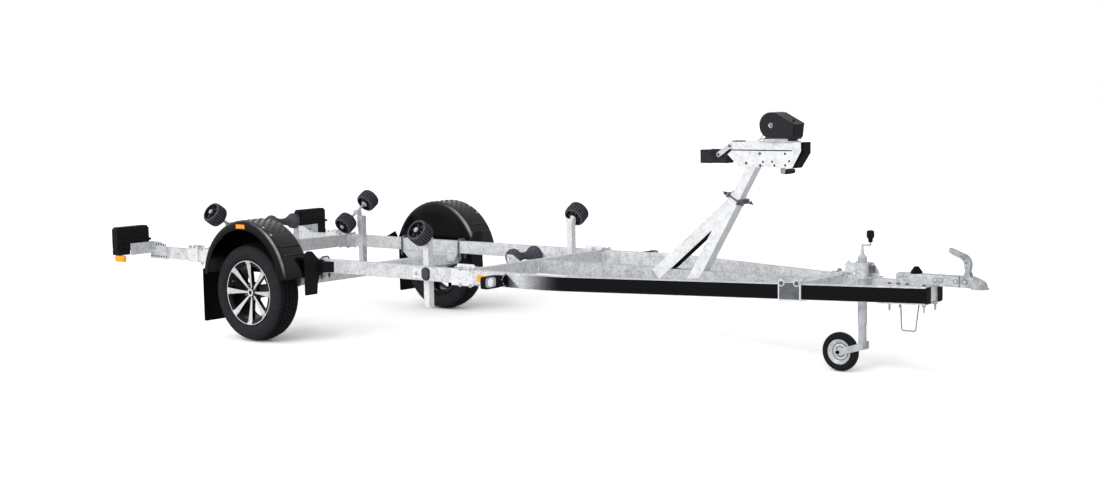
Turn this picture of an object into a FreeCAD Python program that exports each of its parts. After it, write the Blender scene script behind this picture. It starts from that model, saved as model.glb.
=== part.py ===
"""Single-axle boat trailer: bolted rail frame, keel and side rollers, winch post, ball coupling, jockey wheel.

Millimetres. X runs forward, Y to the left, Z up, and the ground is Z = 0. Every x below is measured from the
wheel axle; the finished pieces are then shifted so that the origin lies under the middle of the trailer.
"""
import FreeCAD, Part
import os
from math import asin, cos, hypot, pi, radians, sin, sqrt, tan

V = FreeCAD.Vector

# Overall reach from the axle
front_reach = 4320.0            # axle to the tip of the coupling
rear_reach = 1330.0             # axle to the back of the rear lamps
axle_x = (rear_reach - front_reach) / 2.0

# Side rails
rail_width = 50.0
rail_height = 80.0
rail_wall = 3.0
rail_outer_y = 638.0
rail_bottom = 416.0
rail_rear_x = -900.0
rail_front_x = 4030.0
rail_bend_x = 2125.0
rail_bend_radius = 700.0
rail_gap_half = 42.0            # centreline to the inner face at the front ends
rail_edge = 5.0                 # outside corner radius of the tube
rail_fit = 0.4                  # gap round the spigot of the plastic plug
plug_thickness = 4.0
rail_top = rail_bottom + rail_height
rail_inner_y = rail_outer_y - rail_width

# Road wheels
tyre_radius = 298.0
tyre_width = 185.0
tyre_to_rail = 109.5            # rail's outer face to the tyre's inner side
half_track = rail_outer_y + tyre_to_rail + tyre_width / 2      # centreline to wheel centre plane
shoulder_inset = 31.0           # tread edge in from the widest part of the tyre
shoulder_drop = 12.0            # tread edge below the crown
bead_radius = 178.0
bead_half_width = 65.0
rim_lip_radius = 195.0
rim_lip_width = 10.0
rim_wall = 8.0
rim_fit = 0.5                   # gap between tyre and rim
spoke_count = 8
spoke_root = 16.0               # width of a spoke at the centre
spoke_end = 34.0                # and at the rim
spoke_depth = 22.0
spoke_dish = 16.0               # how far the spokes rise from the centre to the rim
rim_centre_radius = 54.0
wheel_offset = 30.0             # mounting face outboard of the wheel centre plane
hub_cap_radius = 28.0
hub_cap_height = 10.0

# Hub, spindle and trailing arm
spindle_radius = 17.5
running_gap = 0.05              # radial gap of a shaft in its bore
hub_radius = 40.0
hub_flange_radius = 62.0
hub_flange = 12.0
hub_inset = 112.0               # inboard end of the hub from the wheel centre plane
hub_inner_y = half_track - hub_inset
spindle_end = 18.0              # spindle end short of the mounting face
arm_thickness = 24.0
arm_gap = 8.0                   # arm to hub
arm_eye_radius = 42.0
arm_spindle_radius = 34.0

# Torsion axle
axle_tube = 72.0
axle_tube_x = 215.0
axle_tube_wall = 5.0
seat_thickness = 8.0
seat_rear_x = -150.0
seat_front_x = 340.0
seat_drop = 54.0                # depth of the seat's web below the rail
web_thickness = 6.0

# Cross members and centre beam
member_width = 50.0
rear_member_x = -715.0
middle_member_x = 1515.0
front_member_x = 3380.0
beam_width = 60.0
flange_length = 112.0
flange_thickness = 6.0
flange_rise = 9.0               # clamp plates above and below the rail
clamp_thickness = 6.0
middle_clamp_length = 150.0     # wrap round each rail behind the middle member's flange
middle_clamp_rise = 26.0
end_clamp_length = 100.0        # wrap round the rear end of each rail
end_clamp_rise = 24.0
end_clamp_wall = 4.0

# Fenders and mud flaps
fender_radius = 372.0
fender_centre_z = 365.0
fender_end_z = 400.0            # level at which both ends are cut
fender_wall = 4.0
fender_inset = 105.0            # inboard edge from the wheel centre plane
fender_width = 220.0
fender_shoulder = 32.0          # depth of the rounded inboard shoulder
fender_round = 18.0             # depth of the rounded outboard shoulder
fender_skirt = 45.0
fender_lip = 9.0
fender_inner_y = half_track - fender_inset
fender_outer_y = fender_inner_y + fender_width
fender_reach = sqrt(fender_radius ** 2 - (fender_end_z - fender_centre_z) ** 2)
flap_width = 176.0
flap_bottom = 102.0
flap_lap = 30.0
flap_thickness = 4.0
flap_gap = 0.3
stay_thickness = 8.0
stay_reach = 160.0              # rail face to the outboard edge of the stay
stay_foot = 46.0                # width of the stay's foot on the rail
stay_low = 293.0
stay_top = 556.0
stay_neck_z = 360.0
stay_foot_length = 88.0

# Keel rollers
keel_length = 240.0
keel_radius = 52.0
keel_waist = 22.0
keel_pin = 9.0
keel_cheek = 5.0
keel_side_gap = 6.0
rear_keel_x = -700.0
rear_keel_z = 629.0
middle_keel_x = 1405.0
middle_keel_z = 509.0
keel_boss = 20.0                # bracket round each pin

# Side rollers and their posts
post_size = 40.0
post_wall = 3.0
front_post_right_x = 1165.0
front_post_left_x = 1316.0
rear_post_x = -520.0
front_post_bottom = 257.0
front_post_right_top = 636.0
front_post_left_top = 660.0
front_prong = 4.0               # thickness of the two prongs that hold the pin
front_prong_half = 24.0
rear_post_bottom = 320.0
rear_post_top = 632.0
roller_radius = 69.0
roller_width = 82.0
roller_hub_radius = 24.0
roller_web = 30.0
roller_rim = 17.0
roller_pin = 10.0
roller_tilt = 33.0              # degrees, outboard end up
front_roller_y = 628.0
front_roller_rise = 50.0        # roller centre above the top of its post
rocker_x = -568.0
rocker_plate = 6.0              # plate on the post's rear face that carries the pivot pin
wobble_pin = 7.0
wobble_pivot_z = 661.0
wobble_spacing = 260.0          # between the two rollers of one rocking arm
rocker_sleeve = 15.0            # half length of the sleeve on the pivot pin
post_clamp_length = 70.0
post_clamp_height = 56.0
right_clamp_shift = -20.0       # the plate of the right front post sits behind the oval cover
cover_plate_x = 1211.0          # oval cover on the outside of the right rail
cover_plate_length = 58.0
cover_plate_height = 76.0
cover_plate_thickness = 6.0

# Winch post
leg_width = 70.0
leg_depth = 64.0
leg_wall = 5.0
post_foot_x = 2631.0
post_angle = 59.0               # degrees from level
post_length = 536.0
brace_foot_x = 2362.0
brace_angle = 39.5
brace_depth = 68.0
brace_sink = 9.0                # top of the brace's foot below the top of the beam
foot_lap = 44.0                 # the leg's feet lap down the sides of the beam
stem_fit = 0.3
stem_overlap = 170.0            # length of stem inside the leg
stem_wall = 4.0
clamp_bar = 28.0                # height and thickness of the bars that clamp the stem
clamp_bar_depth = 11.0
clamp_rod = 5.0
clamp_below_top = 17.0          # middle of the bars below the top of the leg
head_rear_x = 2862.0
head_front_x = 3305.0
head_bottom = 1158.0
head_height = 40.0
head_wall = 3.0
head_drop = 94.0                # depth of the side plates under the head tube
head_rear_slope = 72.0
head_front_slope = 52.0
head_cap_thickness = 17.0
bow_stop_x = 2694.0
bow_stop_side = 78.0
bow_stop_taper = 20.0
bow_stop_length = 158.0
bow_stop_height = 72.0
bow_stop_width = 120.0
bow_stop_notch = 44.0
bow_stop_drop = 75.0            # underside of the stop below the head tube's underside
bow_link_thickness = 5.0
bow_link_half = 13.0
bow_link_low_x = 2807.0
bow_link_low_z = 1131.0
bow_link_high_x = 2876.0
bow_link_high_z = 1176.0

# Winch
drum_x = 3137.0
drum_z = 1285.0
drum_radius = 30.0
drum_flange_radius = 50.0
drum_half = 37.0
drum_flange = 3.0
winch_plate = 3.0
winch_base_rear = 66.0          # base plate behind and ahead of the shaft
winch_base_front = 118.0
cover_half = 55.0
cover_wall = 3.0
cover_fit = 0.3                 # gap between the cover's sides and the frame inside
cover_round = 68.0
cover_nose = 136.0              # shaft to the cover's front edge
winch_half = cover_half - cover_wall - cover_fit - winch_plate
shaft_radius = 10.0
crank_reach = 248.0
crank_y = 62.0
crank_plate = 8.0
crank_width = 26.0
grip_gap = 3.0
grip_length = 108.0
grip_radius = 14.0

# Coupling
plate_rear_x = 3800.0
plate_thickness = 5.0
coupling_rear_x = 3841.0
coupling_width = 62.0
coupling_height = 54.0
coupling_wall = 5.0
coupling_seam_x = 4178.0
ball_x = 4272.0
ball_radius = 25.0
ball_fit = 0.4
head_outer_radius = 36.0
neck_front_height = 38.0        # the neck slopes down to this above the socket
ball_rise = 6.0                 # centre of the ball above the channel's base
socket_depth = 11.0             # straight wall of the socket below the ball's centre
lever_pivot_x = 4210.0
lever_pivot_rise = 13.0         # lever pin above the top of the channel
lever_eye = 10.0
lever_pin = 5.0
lever_width = 26.0
lever_side_gap = 1.0
ear_thickness = 6.0
cap_x = 3937.0
cap_radius = 30.0
cap_height = 34.0

# Plug holder loop under the front ends
loop_y = -45.0
loop_rear_x = 3872.0
loop_front_x = 3975.0
loop_rod = 3.6
loop_drop = 140.0

# Jockey wheel
jockey_x = 3574.0
jockey_y = 120.0
jockey_outer_radius = 24.0
jockey_wall = 2.9
jockey_outer_bottom = 255.0
jockey_outer_top = 600.0
jockey_inner_bottom = 132.0
jockey_inner_top = 540.0
jockey_wheel_radius = 103.0
jockey_wheel_width = 50.0
jockey_rim_radius = 66.0
jockey_trail = 127.0
fork_plate = 4.0
fork_half = 32.0
fork_height = 36.0
jockey_pin = 8.0
bracket_length = 136.0
bracket_height = 80.0
bracket_front_height = 30.0     # the folded plate is cut down towards its front end
bracket_wall = 5.0
jockey_crank_reach = 46.0
jockey_crank_rise = 68.0        # crank arm above the tube's top
knob_radius = 21.0
knob_height = 62.0

# Rear lamps
lamp_to_rail = 30.0             # rail's outer face to the inboard end of the lamp
lamp_inner_y = rail_outer_y + lamp_to_rail
lamp_length = 252.0
lamp_depth = 80.0
lamp_bottom = 487.0
lamp_top = 640.0
lamp_ledge_z = 542.0
lamp_ledge = 16.0               # height of the ledge, and how far it stands forward
lamp_foot_length = 88.0         # rubber foot under the outboard end
lamp_foot_drop = 30.0
lamp_marker_length = 89.0
lamp_marker_height = 39.0
lamp_marker_width = 22.0
lamp_beam_fit = 0.3             # gap between the beam and the rail's bore
lamp_beam_wall = 3.0
lamp_beam_lap = 120.0           # length of beam inside the rail
lamp_plate = 5.0
lamp_plate_front_x = -1111.0
lamp_plate_top = 528.0
lamp_arm_bottom = 455.0
lamp_arm_top = 530.0
lamp_arm_reach = 190.0          # rail's outer face to the outboard end of the cross arm

# Front marker lamps and side reflectors
marker_x = 1806.0
marker_out = 170.0              # rail's outer face to the outboard end
marker_lamp = 112.0             # length of the lamp at the outboard end
marker_height = 68.0
marker_arm = 52.0               # height of the arm at the rail
marker_depth = 34.0
marker_round = 14.0
reflector_x = 1628.0
reflector_length = 54.0
reflector_height = 34.0
reflector_thickness = 5.0


def box(x0, x1, y0, y1, z0, z1):
    return Part.makeBox(x1 - x0, y1 - y0, z1 - z0, V(x0, y0, z0))


def plate(points, direction):
    """A flat outline pushed along a direction."""
    return Part.Face(Part.makePolygon(points + points[:1])).extrude(direction)


def fused(shapes):
    """One body from touching pieces."""
    return shapes[0].fuse(shapes[1:]).removeSplitter()


def side_by_side(shapes):
    """Separate solids that share one node."""
    return Part.makeCompound(shapes)


def mirrored(shape):
    return shape.mirror(V(0, 0, 0), V(0, 1, 0))


def rounded(solid, radius, chosen):
    """Fillets the edges that the test picks."""
    return solid.makeFillet(radius, [e for e in solid.Edges if chosen(e)])


def runs_along(edge, axis):
    if edge.Curve.TypeId != "Part::GeomLine":
        return False
    return abs(abs(edge.tangentAt(edge.FirstParameter).dot(axis)) - 1.0) < 1e-6


def turned(profile, centre, axis):
    """A closed (distance, radius) profile swept once about an axis through the centre."""
    radial = V(0, 0, 1) if abs(axis.z) < 0.9 else V(1, 0, 0)
    radial = (radial - axis * radial.dot(axis)).normalize()
    points = [centre + axis * d + radial * r for d, r in profile]
    return Part.Face(Part.makePolygon(points + points[:1])).revolve(centre, axis, 360)


def bar(start, end, radius):
    run = end - start
    return Part.makeCylinder(radius, run.Length, start, run)


def square_tube(length, width, depth, wall):
    """Open tube along +X, centred on the X axis."""
    outer = box(0, length, -width / 2, width / 2, -depth / 2, depth / 2)
    inner = box(-1, length + 1, -width / 2 + wall, width / 2 - wall, -depth / 2 + wall, depth / 2 - wall)
    return outer.cut(inner)


# Frame

def rail_lean():
    """Angle between the straight rail and its converging front part."""
    drop = rail_inner_y - rail_gap_half
    low, high = 0.0, pi / 4
    for _ in range(60):
        mid = (low + high) / 2
        reach = (rail_front_x - rail_bend_x) * tan(mid) - rail_width * (1 / cos(mid) - 1) / 2
        low, high = (mid, high) if reach < drop else (low, mid)
    return low


lean = rail_lean()


def rail_edge_y(x, offset):
    """Y of a line parallel to the rail's centre line, at one x; offset is positive outboard."""
    centre_y = rail_outer_y - rail_width / 2
    if x < rail_bend_x:
        return centre_y + offset
    return centre_y - (x - rail_bend_x) * tan(lean) + offset / cos(lean)


def rail_strip(inset, z0, z1, rear, front):
    """The rail's plan outline, drawn in from its walls, between two heights."""
    half = rail_width / 2 - inset
    centre_y = rail_outer_y - rail_width / 2
    tangent = rail_bend_radius * tan(lean / 2)
    centre = V(rail_bend_x - tangent, centre_y - rail_bend_radius, z0)
    edges = []
    corners = []
    for side in (1, -1):
        radius = rail_bend_radius + side * half
        start = centre + V(0, radius, 0)
        middle = centre + V(sin(lean / 2), cos(lean / 2), 0) * radius
        end = centre + V(sin(lean), cos(lean), 0) * radius
        rear_end = V(rear, centre_y + side * half, z0)
        along = front - end.x
        front_end = V(front, end.y - along * tan(lean), z0)
        edges += [Part.makeLine(rear_end, start), Part.Arc(start, middle, end).toShape()]
        edges.append(Part.makeLine(end, front_end))
        corners.append((rear_end, front_end))
    edges.append(Part.makeLine(corners[0][0], corners[1][0]))
    edges.append(Part.makeLine(corners[0][1], corners[1][1]))
    wire = Part.Wire(Part.__sortEdges__(edges))
    return Part.Face(wire).extrude(V(0, 0, z1 - z0))


def rail():
    outer = rail_strip(0, rail_bottom, rail_top, rail_rear_x, rail_front_x)
    level = [e for e in outer.Edges if abs(e.Vertexes[0].Z - e.Vertexes[-1].Z) < 1]
    outer = outer.makeFillet(rail_edge, [e for e in level if e.Length > rail_height + 20])
    hollow = rail_strip(rail_wall, rail_bottom + rail_wall, rail_top - rail_wall, rail_rear_x - 1, rail_front_x + 1)
    return outer.cut(hollow)


def rail_plug():
    """Plastic plug: a cap on the rail's front end with a short spigot inside."""
    cap = rail_strip(0, rail_bottom, rail_top, rail_rear_x, rail_front_x + plug_thickness)
    cap = cap.common(box(rail_front_x, rail_front_x + plug_thickness, 0, rail_outer_y, rail_bottom, rail_top))
    inset = rail_wall + rail_fit
    spigot = rail_strip(inset, rail_bottom + inset, rail_top - inset, rail_rear_x, rail_front_x)
    spigot = spigot.common(box(rail_front_x - 18, rail_front_x, 0, rail_outer_y, rail_bottom, rail_top))
    return fused([cap, spigot])


def flange_outline(x, side, offset, thickness):
    """Upright plate beside the rail at one station, on the outboard (1) or inboard (-1) face."""
    half = flange_length / 2
    near = side * (rail_width / 2 + offset)
    far = side * (rail_width / 2 + offset + thickness)
    ends = [x - half, x + half]
    points = [V(ends[0], rail_edge_y(ends[0], near), 0), V(ends[1], rail_edge_y(ends[1], near), 0)]
    points += [V(ends[1], rail_edge_y(ends[1], far), 0), V(ends[0], rail_edge_y(ends[0], far), 0)]
    bottom = rail_bottom - flange_rise
    for p in points:
        p.z = bottom
    return plate(points, V(0, 0, rail_height + 2 * flange_rise))


def cross_member(x):
    """Square tube between the rails with a flange welded on each end."""
    reach = rail_inner_y + rail_width
    tube = box(x - member_width / 2, x + member_width / 2, -reach, reach, rail_bottom, rail_top)
    bore = box(x - member_width / 2 + rail_wall, x + member_width / 2 - rail_wall, -reach, reach,
               rail_bottom + rail_wall, rail_top - rail_wall)
    tube = tube.cut(bore)
    inboard = rail_width / 2 + flange_thickness
    corners = []
    for station in (x - member_width, x + member_width):
        corners.append(V(station, rail_edge_y(station, -inboard), rail_bottom))
    points = list(corners)
    points += [V(p.x, -p.y, rail_bottom) for p in reversed(corners)]
    tube = tube.common(plate(points, V(0, 0, rail_height)))
    flange = flange_outline(x, -1, 0, flange_thickness)
    return fused([tube, flange, mirrored(flange)])


def clamp_plates(x):
    """Outer clamp plates, one on each rail."""
    outer = flange_outline(x, 1, 0, clamp_thickness)
    return [outer, mirrored(outer)]


def middle_clamp():
    """Folded wrap over the top and outside of the left rail, behind the middle member."""
    front = middle_member_x + flange_length / 2 - 10
    rear = front - middle_clamp_length
    wall = clamp_thickness
    outer = rail_outer_y + wall
    top = rail_top + middle_clamp_rise
    face = box(rear, middle_member_x - flange_length / 2, rail_outer_y, outer, rail_bottom - flange_rise, rail_top)
    roof = box(rear, front, rail_inner_y, outer, rail_top, rail_top + wall / 2)
    fold = [V(rear, rail_inner_y, rail_top), V(front, rail_inner_y, rail_top)]
    fold += [V(front - middle_clamp_rise, rail_inner_y, top), V(rear, rail_inner_y, top)]
    return fused([face, roof, plate(fold, V(0, wall, 0))])


def end_clamp():
    """Wrap round the rear end of the left rail with two ears that the clamping bolt draws together."""
    wall = end_clamp_wall
    front = rail_rear_x + end_clamp_length
    outer = box(rail_rear_x, front, rail_inner_y - wall, rail_outer_y + wall, rail_bottom - wall,
                rail_top + end_clamp_rise)
    bore = box(rail_rear_x - 1, front + 1, rail_inner_y, rail_outer_y, rail_bottom, rail_top)
    gap = box(rail_rear_x - 1, front + 1, rail_inner_y, rail_outer_y, rail_top + wall, rail_top + end_clamp_rise + 1)
    return outer.cut(bore).cut(gap)


def centre_beam():
    start = middle_member_x + member_width / 2
    length = front_member_x - member_width / 2 - start
    tube = square_tube(length, beam_width, rail_height, rail_wall)
    tube.translate(V(start, 0, rail_bottom + rail_height / 2))
    return tube


# Axle

def axle_beam():
    """Square torsion tube under the rails, with the seats that carry them."""
    reach = hub_inner_y - arm_gap - arm_thickness
    centre_z = rail_bottom - seat_thickness - axle_tube / 2
    tube = box(axle_tube_x - axle_tube / 2, axle_tube_x + axle_tube / 2, -reach, reach,
               centre_z - axle_tube / 2, centre_z + axle_tube / 2)
    across = [e for e in tube.Edges if runs_along(e, V(0, 1, 0))]
    tube = tube.makeFillet(axle_tube_wall * 2, across)
    pieces = [tube]
    for side in (1, -1):
        inner, outer = sorted((side * (rail_inner_y - web_thickness), side * rail_outer_y))
        pieces.append(box(seat_rear_x, seat_front_x, inner, outer, rail_bottom - seat_thickness, rail_bottom))
        web_y = side * (rail_inner_y - web_thickness / 2)
        points = [V(seat_rear_x, web_y - web_thickness / 2, rail_bottom - seat_thickness)]
        points.append(V(seat_front_x, points[0].y, rail_bottom - seat_thickness))
        points.append(V(seat_front_x - seat_drop / 2, points[0].y, rail_bottom - seat_drop))
        points.append(V(seat_rear_x + seat_drop, points[0].y, rail_bottom - seat_drop))
        pieces.append(plate(points, V(0, web_thickness, 0)))
    return fused(pieces)


def swing_arm():
    """Trailing arm from the axle tube back to the wheel spindle."""
    outer_face = hub_inner_y - arm_gap
    inner_face = outer_face - arm_thickness
    centre_z = rail_bottom - seat_thickness - axle_tube / 2
    eye = V(axle_tube_x, inner_face, centre_z)
    stub = V(0, inner_face, tyre_radius)
    run = stub - eye
    length = hypot(run.x, run.z)
    grow = asin((arm_eye_radius - arm_spindle_radius) / length)
    along = V(run.x / length, 0, run.z / length)
    across = V(-along.z, 0, along.x)
    corners = []
    for side in (1, -1):
        edge = along * sin(grow) + across * (side * cos(grow))
        corners.append((eye + edge * arm_eye_radius, stub + edge * arm_spindle_radius))
    points = [corners[0][0], corners[0][1], corners[1][1], corners[1][0]]
    thick = V(0, arm_thickness, 0)
    pieces = [plate(points, thick)]
    pieces.append(Part.makeCylinder(arm_eye_radius, arm_thickness, eye, V(0, 1, 0)))
    pieces.append(Part.makeCylinder(arm_spindle_radius, arm_thickness, stub, V(0, 1, 0)))
    end = half_track + wheel_offset - spindle_end
    pieces.append(Part.makeCylinder(spindle_radius, end - inner_face, stub, V(0, 1, 0)))
    return fused(pieces)


def hub():
    """Wheel hub running on the spindle, with the flange that the rim bolts to."""
    face = half_track + wheel_offset
    bore = spindle_radius + running_gap
    depth = face - spindle_end + 1
    profile = [(hub_inner_y, bore), (hub_inner_y, hub_radius), (face - hub_flange, hub_radius)]
    profile += [(face - hub_flange, hub_flange_radius), (face, hub_flange_radius), (face, 0), (depth, 0)]
    profile.append((depth, bore))
    return turned(profile, V(0, 0, tyre_radius), V(0, 1, 0))


def wheel_rim():
    """Cast wheel: a barrel with lips and a dished centre that is cut into spokes."""
    centre = V(0, half_track, tyre_radius)
    axis = V(0, 1, 0)
    lip = bead_half_width + rim_lip_width
    inner = bead_radius - rim_wall
    barrel = [(-lip, rim_lip_radius - 4), (-lip, rim_lip_radius), (-bead_half_width - 2, rim_lip_radius - 3)]
    barrel += [(-bead_half_width, bead_radius), (bead_half_width, bead_radius)]
    barrel += [(bead_half_width + 2, rim_lip_radius - 3), (lip, rim_lip_radius), (lip, rim_lip_radius - 4)]
    barrel += [(lip - 7, inner + 2), (lip - 22, inner), (22 - lip, inner), (7 - lip, inner + 2)]
    rim = turned(barrel, centre, axis)
    edge = lip - 9
    low = edge - spoke_dish
    face = [(wheel_offset, 0), (wheel_offset, hub_flange_radius), (low - spoke_depth, rim_centre_radius + 12)]
    face += [(edge - spoke_depth, inner + 1), (edge, inner + 1), (low + 3, rim_centre_radius)]
    face += [(low, hub_cap_radius + 6), (low, 0)]
    spider = turned(face, centre, axis)
    for k in range(spoke_count):
        spider = spider.cut(spoke_window(k, centre, inner - 5, low - 2 * spoke_depth, 3 * spoke_depth))
    cap = Part.makeCylinder(hub_cap_radius, hub_cap_height, centre + axis * low, axis)
    cap = rounded(cap, 4, lambda e: e.Curve.TypeId == "Part::GeomCircle" and e.Vertexes[0].Y > centre.y + low + 1)
    return fused([rim, spider, cap])


def spoke_window(index, centre, outer_radius, start, depth):
    """Opening between two spokes that widen towards the rim."""
    step = 2 * pi / spoke_count
    first = index * step
    inner_radius = rim_centre_radius + 4
    points = []
    for radius, width, sign in ((inner_radius, spoke_root, 1), (outer_radius, spoke_end, 1),
                                (outer_radius, spoke_end, -1), (inner_radius, spoke_root, -1)):
        turn = asin(width / 2 / radius)
        angle = first + turn if sign > 0 else first + step - turn
        points.append(centre + V(cos(angle) * radius, start, sin(angle) * radius))
    middle = first + step / 2
    outer_mid = centre + V(cos(middle) * outer_radius, start, sin(middle) * outer_radius)
    inner_mid = centre + V(cos(middle) * inner_radius, start, sin(middle) * inner_radius)
    edges = [Part.makeLine(points[0], points[1]), Part.Arc(points[1], outer_mid, points[2]).toShape()]
    edges += [Part.makeLine(points[2], points[3]), Part.Arc(points[3], inner_mid, points[0]).toShape()]
    block = Part.Face(Part.Wire(edges)).extrude(V(0, depth, 0))
    return rounded(block, 9, lambda e: runs_along(e, V(0, 1, 0)))


def tyre():
    """Road tyre: round sidewalls, a nearly flat crown and a square bead."""
    centre = V(0, half_track, tyre_radius)
    half = tyre_width / 2
    bead = bead_radius + rim_fit
    edge = bead_half_width - rim_fit
    belly = (rim_lip_radius + tyre_radius) / 2
    shoulder = tyre_radius - shoulder_drop
    tread = half - shoulder_inset

    def at(across, radius):
        return centre + V(0, across, radius)

    start = at(edge, rim_lip_radius + 2)
    edges = [Part.makeLine(at(-edge, bead), at(edge, bead)), Part.makeLine(at(edge, bead), start)]
    edges.append(Part.Arc(start, at(half, belly), at(tread, shoulder)).toShape())
    edges.append(Part.Arc(at(tread, shoulder), at(0, tyre_radius), at(-tread, shoulder)).toShape())
    other = at(-edge, rim_lip_radius + 2)
    edges.append(Part.Arc(at(-tread, shoulder), at(-half, belly), other).toShape())
    edges.append(Part.makeLine(other, at(-edge, bead)))
    return Part.Face(Part.Wire(edges)).revolve(centre, V(0, 1, 0), 360)


# Fenders

def fender():
    """Round plastic guard: soft shoulders, a skirt with a rolled lip outboard and a flat panel inboard."""
    centre = V(0, 0, fender_centre_z)
    inner = fender_inner_y
    outer = fender_outer_y
    wall = fender_wall
    crown = fender_radius
    under = crown - wall
    root = crown - fender_shoulder
    lip = crown - fender_skirt
    section = [(inner, 0), (inner, root), (inner + 4, crown - 18), (inner + 14, crown - 7), (inner + 30, crown)]
    section += [(outer - 30, crown), (outer - 12, crown - 5), (outer - 3, crown - 11), (outer, crown - fender_round)]
    section += [(outer, lip), (outer + 3, lip), (outer + 3, lip - fender_lip), (outer - wall, lip - fender_lip)]
    section += [(outer - wall, crown - 20), (outer - 13, under - 6), (outer - 31, under), (inner + 31, under)]
    section += [(inner + 17, under - 6.5), (inner + 8, crown - 20), (inner + wall, root), (inner + wall, 0)]
    points = [centre + V(r, y, 0) for y, r in section]
    guard = Part.Face(Part.makePolygon(points + points[:1])).revolve(centre, V(0, -1, 0), 180)
    return guard.cut(box(-crown - 1, crown + 1, inner - 1, outer + 4, fender_centre_z - 1, fender_end_z))


def mud_flap():
    rear = -fender_reach - flap_gap - flap_thickness
    outer = fender_outer_y - 4
    flap = box(rear, rear + flap_thickness, outer - flap_width, outer, flap_bottom, fender_end_z + flap_lap)
    return rounded(flap, 14, lambda e: runs_along(e, V(1, 0, 0)))


def stay_foot_block(face, side):
    """Wedge on the rail behind (-1) or ahead of (1) a stay."""
    inboard = rail_outer_y
    edge = inboard + stay_foot
    foot = [V(face, inboard, 0), V(face, edge, 0), V(face + side * stay_foot_length * 0.45, edge - 6, 0)]
    foot.append(V(face + side * stay_foot_length, inboard, 0))
    for p in foot:
        p.z = rail_bottom + 6
    return plate(foot, V(0, 0, rail_height - 18))


def fender_stay_front():
    """Moulded stay that carries the front edge of the fender from the rail."""
    face = fender_reach + flap_gap
    inboard = rail_outer_y
    neck = inboard + stay_foot
    edge = inboard + stay_reach
    outline = [(neck + 20, stay_low), (edge, stay_low), (edge, stay_top - 16), (edge - 28, stay_top)]
    outline += [(edge - 62, stay_top - 4), (neck, rail_top + 4), (inboard, rail_top - 8), (inboard, rail_bottom + 4)]
    outline += [(neck - 2, rail_bottom - 14), (neck + 12, stay_neck_z)]
    stay = plate([V(face, y, z) for y, z in outline], V(stay_thickness, 0, 0))
    stay = rounded(stay, 6, lambda e: runs_along(e, V(1, 0, 0)))
    return fused([stay, stay_foot_block(face, 1)])


def fender_stay_rear():
    """Shorter stay behind the wheel, above the mud flap."""
    face = -fender_reach - flap_gap
    inboard = rail_outer_y
    neck = inboard + stay_foot
    reach = fender_outer_y - flap_width - 8
    outline = [(inboard, rail_bottom + 4), (reach, rail_bottom + 4), (reach, rail_top - 26)]
    outline += [(fender_inner_y + 8, rail_top + 24), (neck, rail_top + 4), (inboard, rail_top - 8)]
    stay = plate([V(face, y, z) for y, z in outline], V(-stay_thickness, 0, 0))
    return fused([stay, stay_foot_block(face, -1)])


# Keel rollers

def keel_roller(x, z):
    """Bone-shaped rubber roller with a bore for its pin."""
    half = keel_length / 2
    bore = keel_pin + running_gap
    centre = V(x, 0, z)

    def at(y, r):
        return centre + V(0, y, r)

    end = keel_radius - 10
    neck = keel_radius - 12
    edges = [Part.makeLine(at(-half, bore), at(half, bore)), Part.makeLine(at(half, bore), at(half, end))]
    edges.append(Part.Arc(at(half, end), at(half - 24, keel_radius), at(half - 52, neck)).toShape())
    edges.append(Part.Arc(at(half - 52, neck), at(0, keel_waist), at(52 - half, neck)).toShape())
    edges.append(Part.Arc(at(52 - half, neck), at(24 - half, keel_radius), at(-half, end)).toShape())
    edges.append(Part.makeLine(at(-half, end), at(-half, bore)))
    return Part.Face(Part.Wire(edges)).revolve(centre, V(0, 1, 0), 360)


def keel_pin_bar(x, z):
    reach = keel_length / 2 + keel_side_gap + keel_cheek + 10
    return bar(V(x, -reach, z), V(x, reach, z), keel_pin)


def keel_bracket_rear():
    """Two upright cheeks on the rear cross member, tied by a base plate."""
    inner = keel_length / 2 + keel_side_gap
    half = member_width / 2
    base = box(rear_member_x - half, rear_member_x + half, -inner - keel_cheek, inner + keel_cheek,
               rail_top, rail_top + keel_cheek)
    pieces = [base, keel_pin_bar(rear_keel_x, rear_keel_z)]
    for side in (1, -1):
        y = side * (inner + keel_cheek / 2) - keel_cheek / 2
        outline = [(rear_member_x - half, rail_top), (rear_member_x + half, rail_top)]
        outline += [(rear_keel_x + rise, rear_keel_z + keel_boss) for rise in (keel_boss, -keel_boss)]
        pieces.append(plate([V(px, y, pz) for px, pz in outline], V(0, keel_cheek, 0)))
    return fused(pieces)


def keel_bracket_middle():
    """Two arms reaching back from the middle cross member."""
    inner = keel_length / 2 + keel_side_gap
    face = middle_member_x - member_width / 2
    pieces = [keel_pin_bar(middle_keel_x, middle_keel_z)]
    back = box(face - keel_cheek, face, -inner - keel_cheek, inner + keel_cheek, rail_bottom + 14, rail_top - 4)
    pieces.append(back)
    for side in (1, -1):
        y = side * (inner + keel_cheek / 2) - keel_cheek / 2
        outline = [(face, rail_bottom + 14), (face, rail_top - 4)]
        outline.append((middle_keel_x + keel_boss, middle_keel_z + keel_boss))
        outline.append((middle_keel_x - keel_boss, middle_keel_z + keel_boss))
        outline.append((middle_keel_x - keel_boss, middle_keel_z - keel_boss))
        pieces.append(plate([V(px, y, pz) for px, pz in outline], V(0, keel_cheek, 0)))
    return fused(pieces)


# Side rollers

def tilt_axis():
    """Outboard direction of a left roller's pin."""
    return V(0, cos(radians(roller_tilt)), sin(radians(roller_tilt)))


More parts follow.
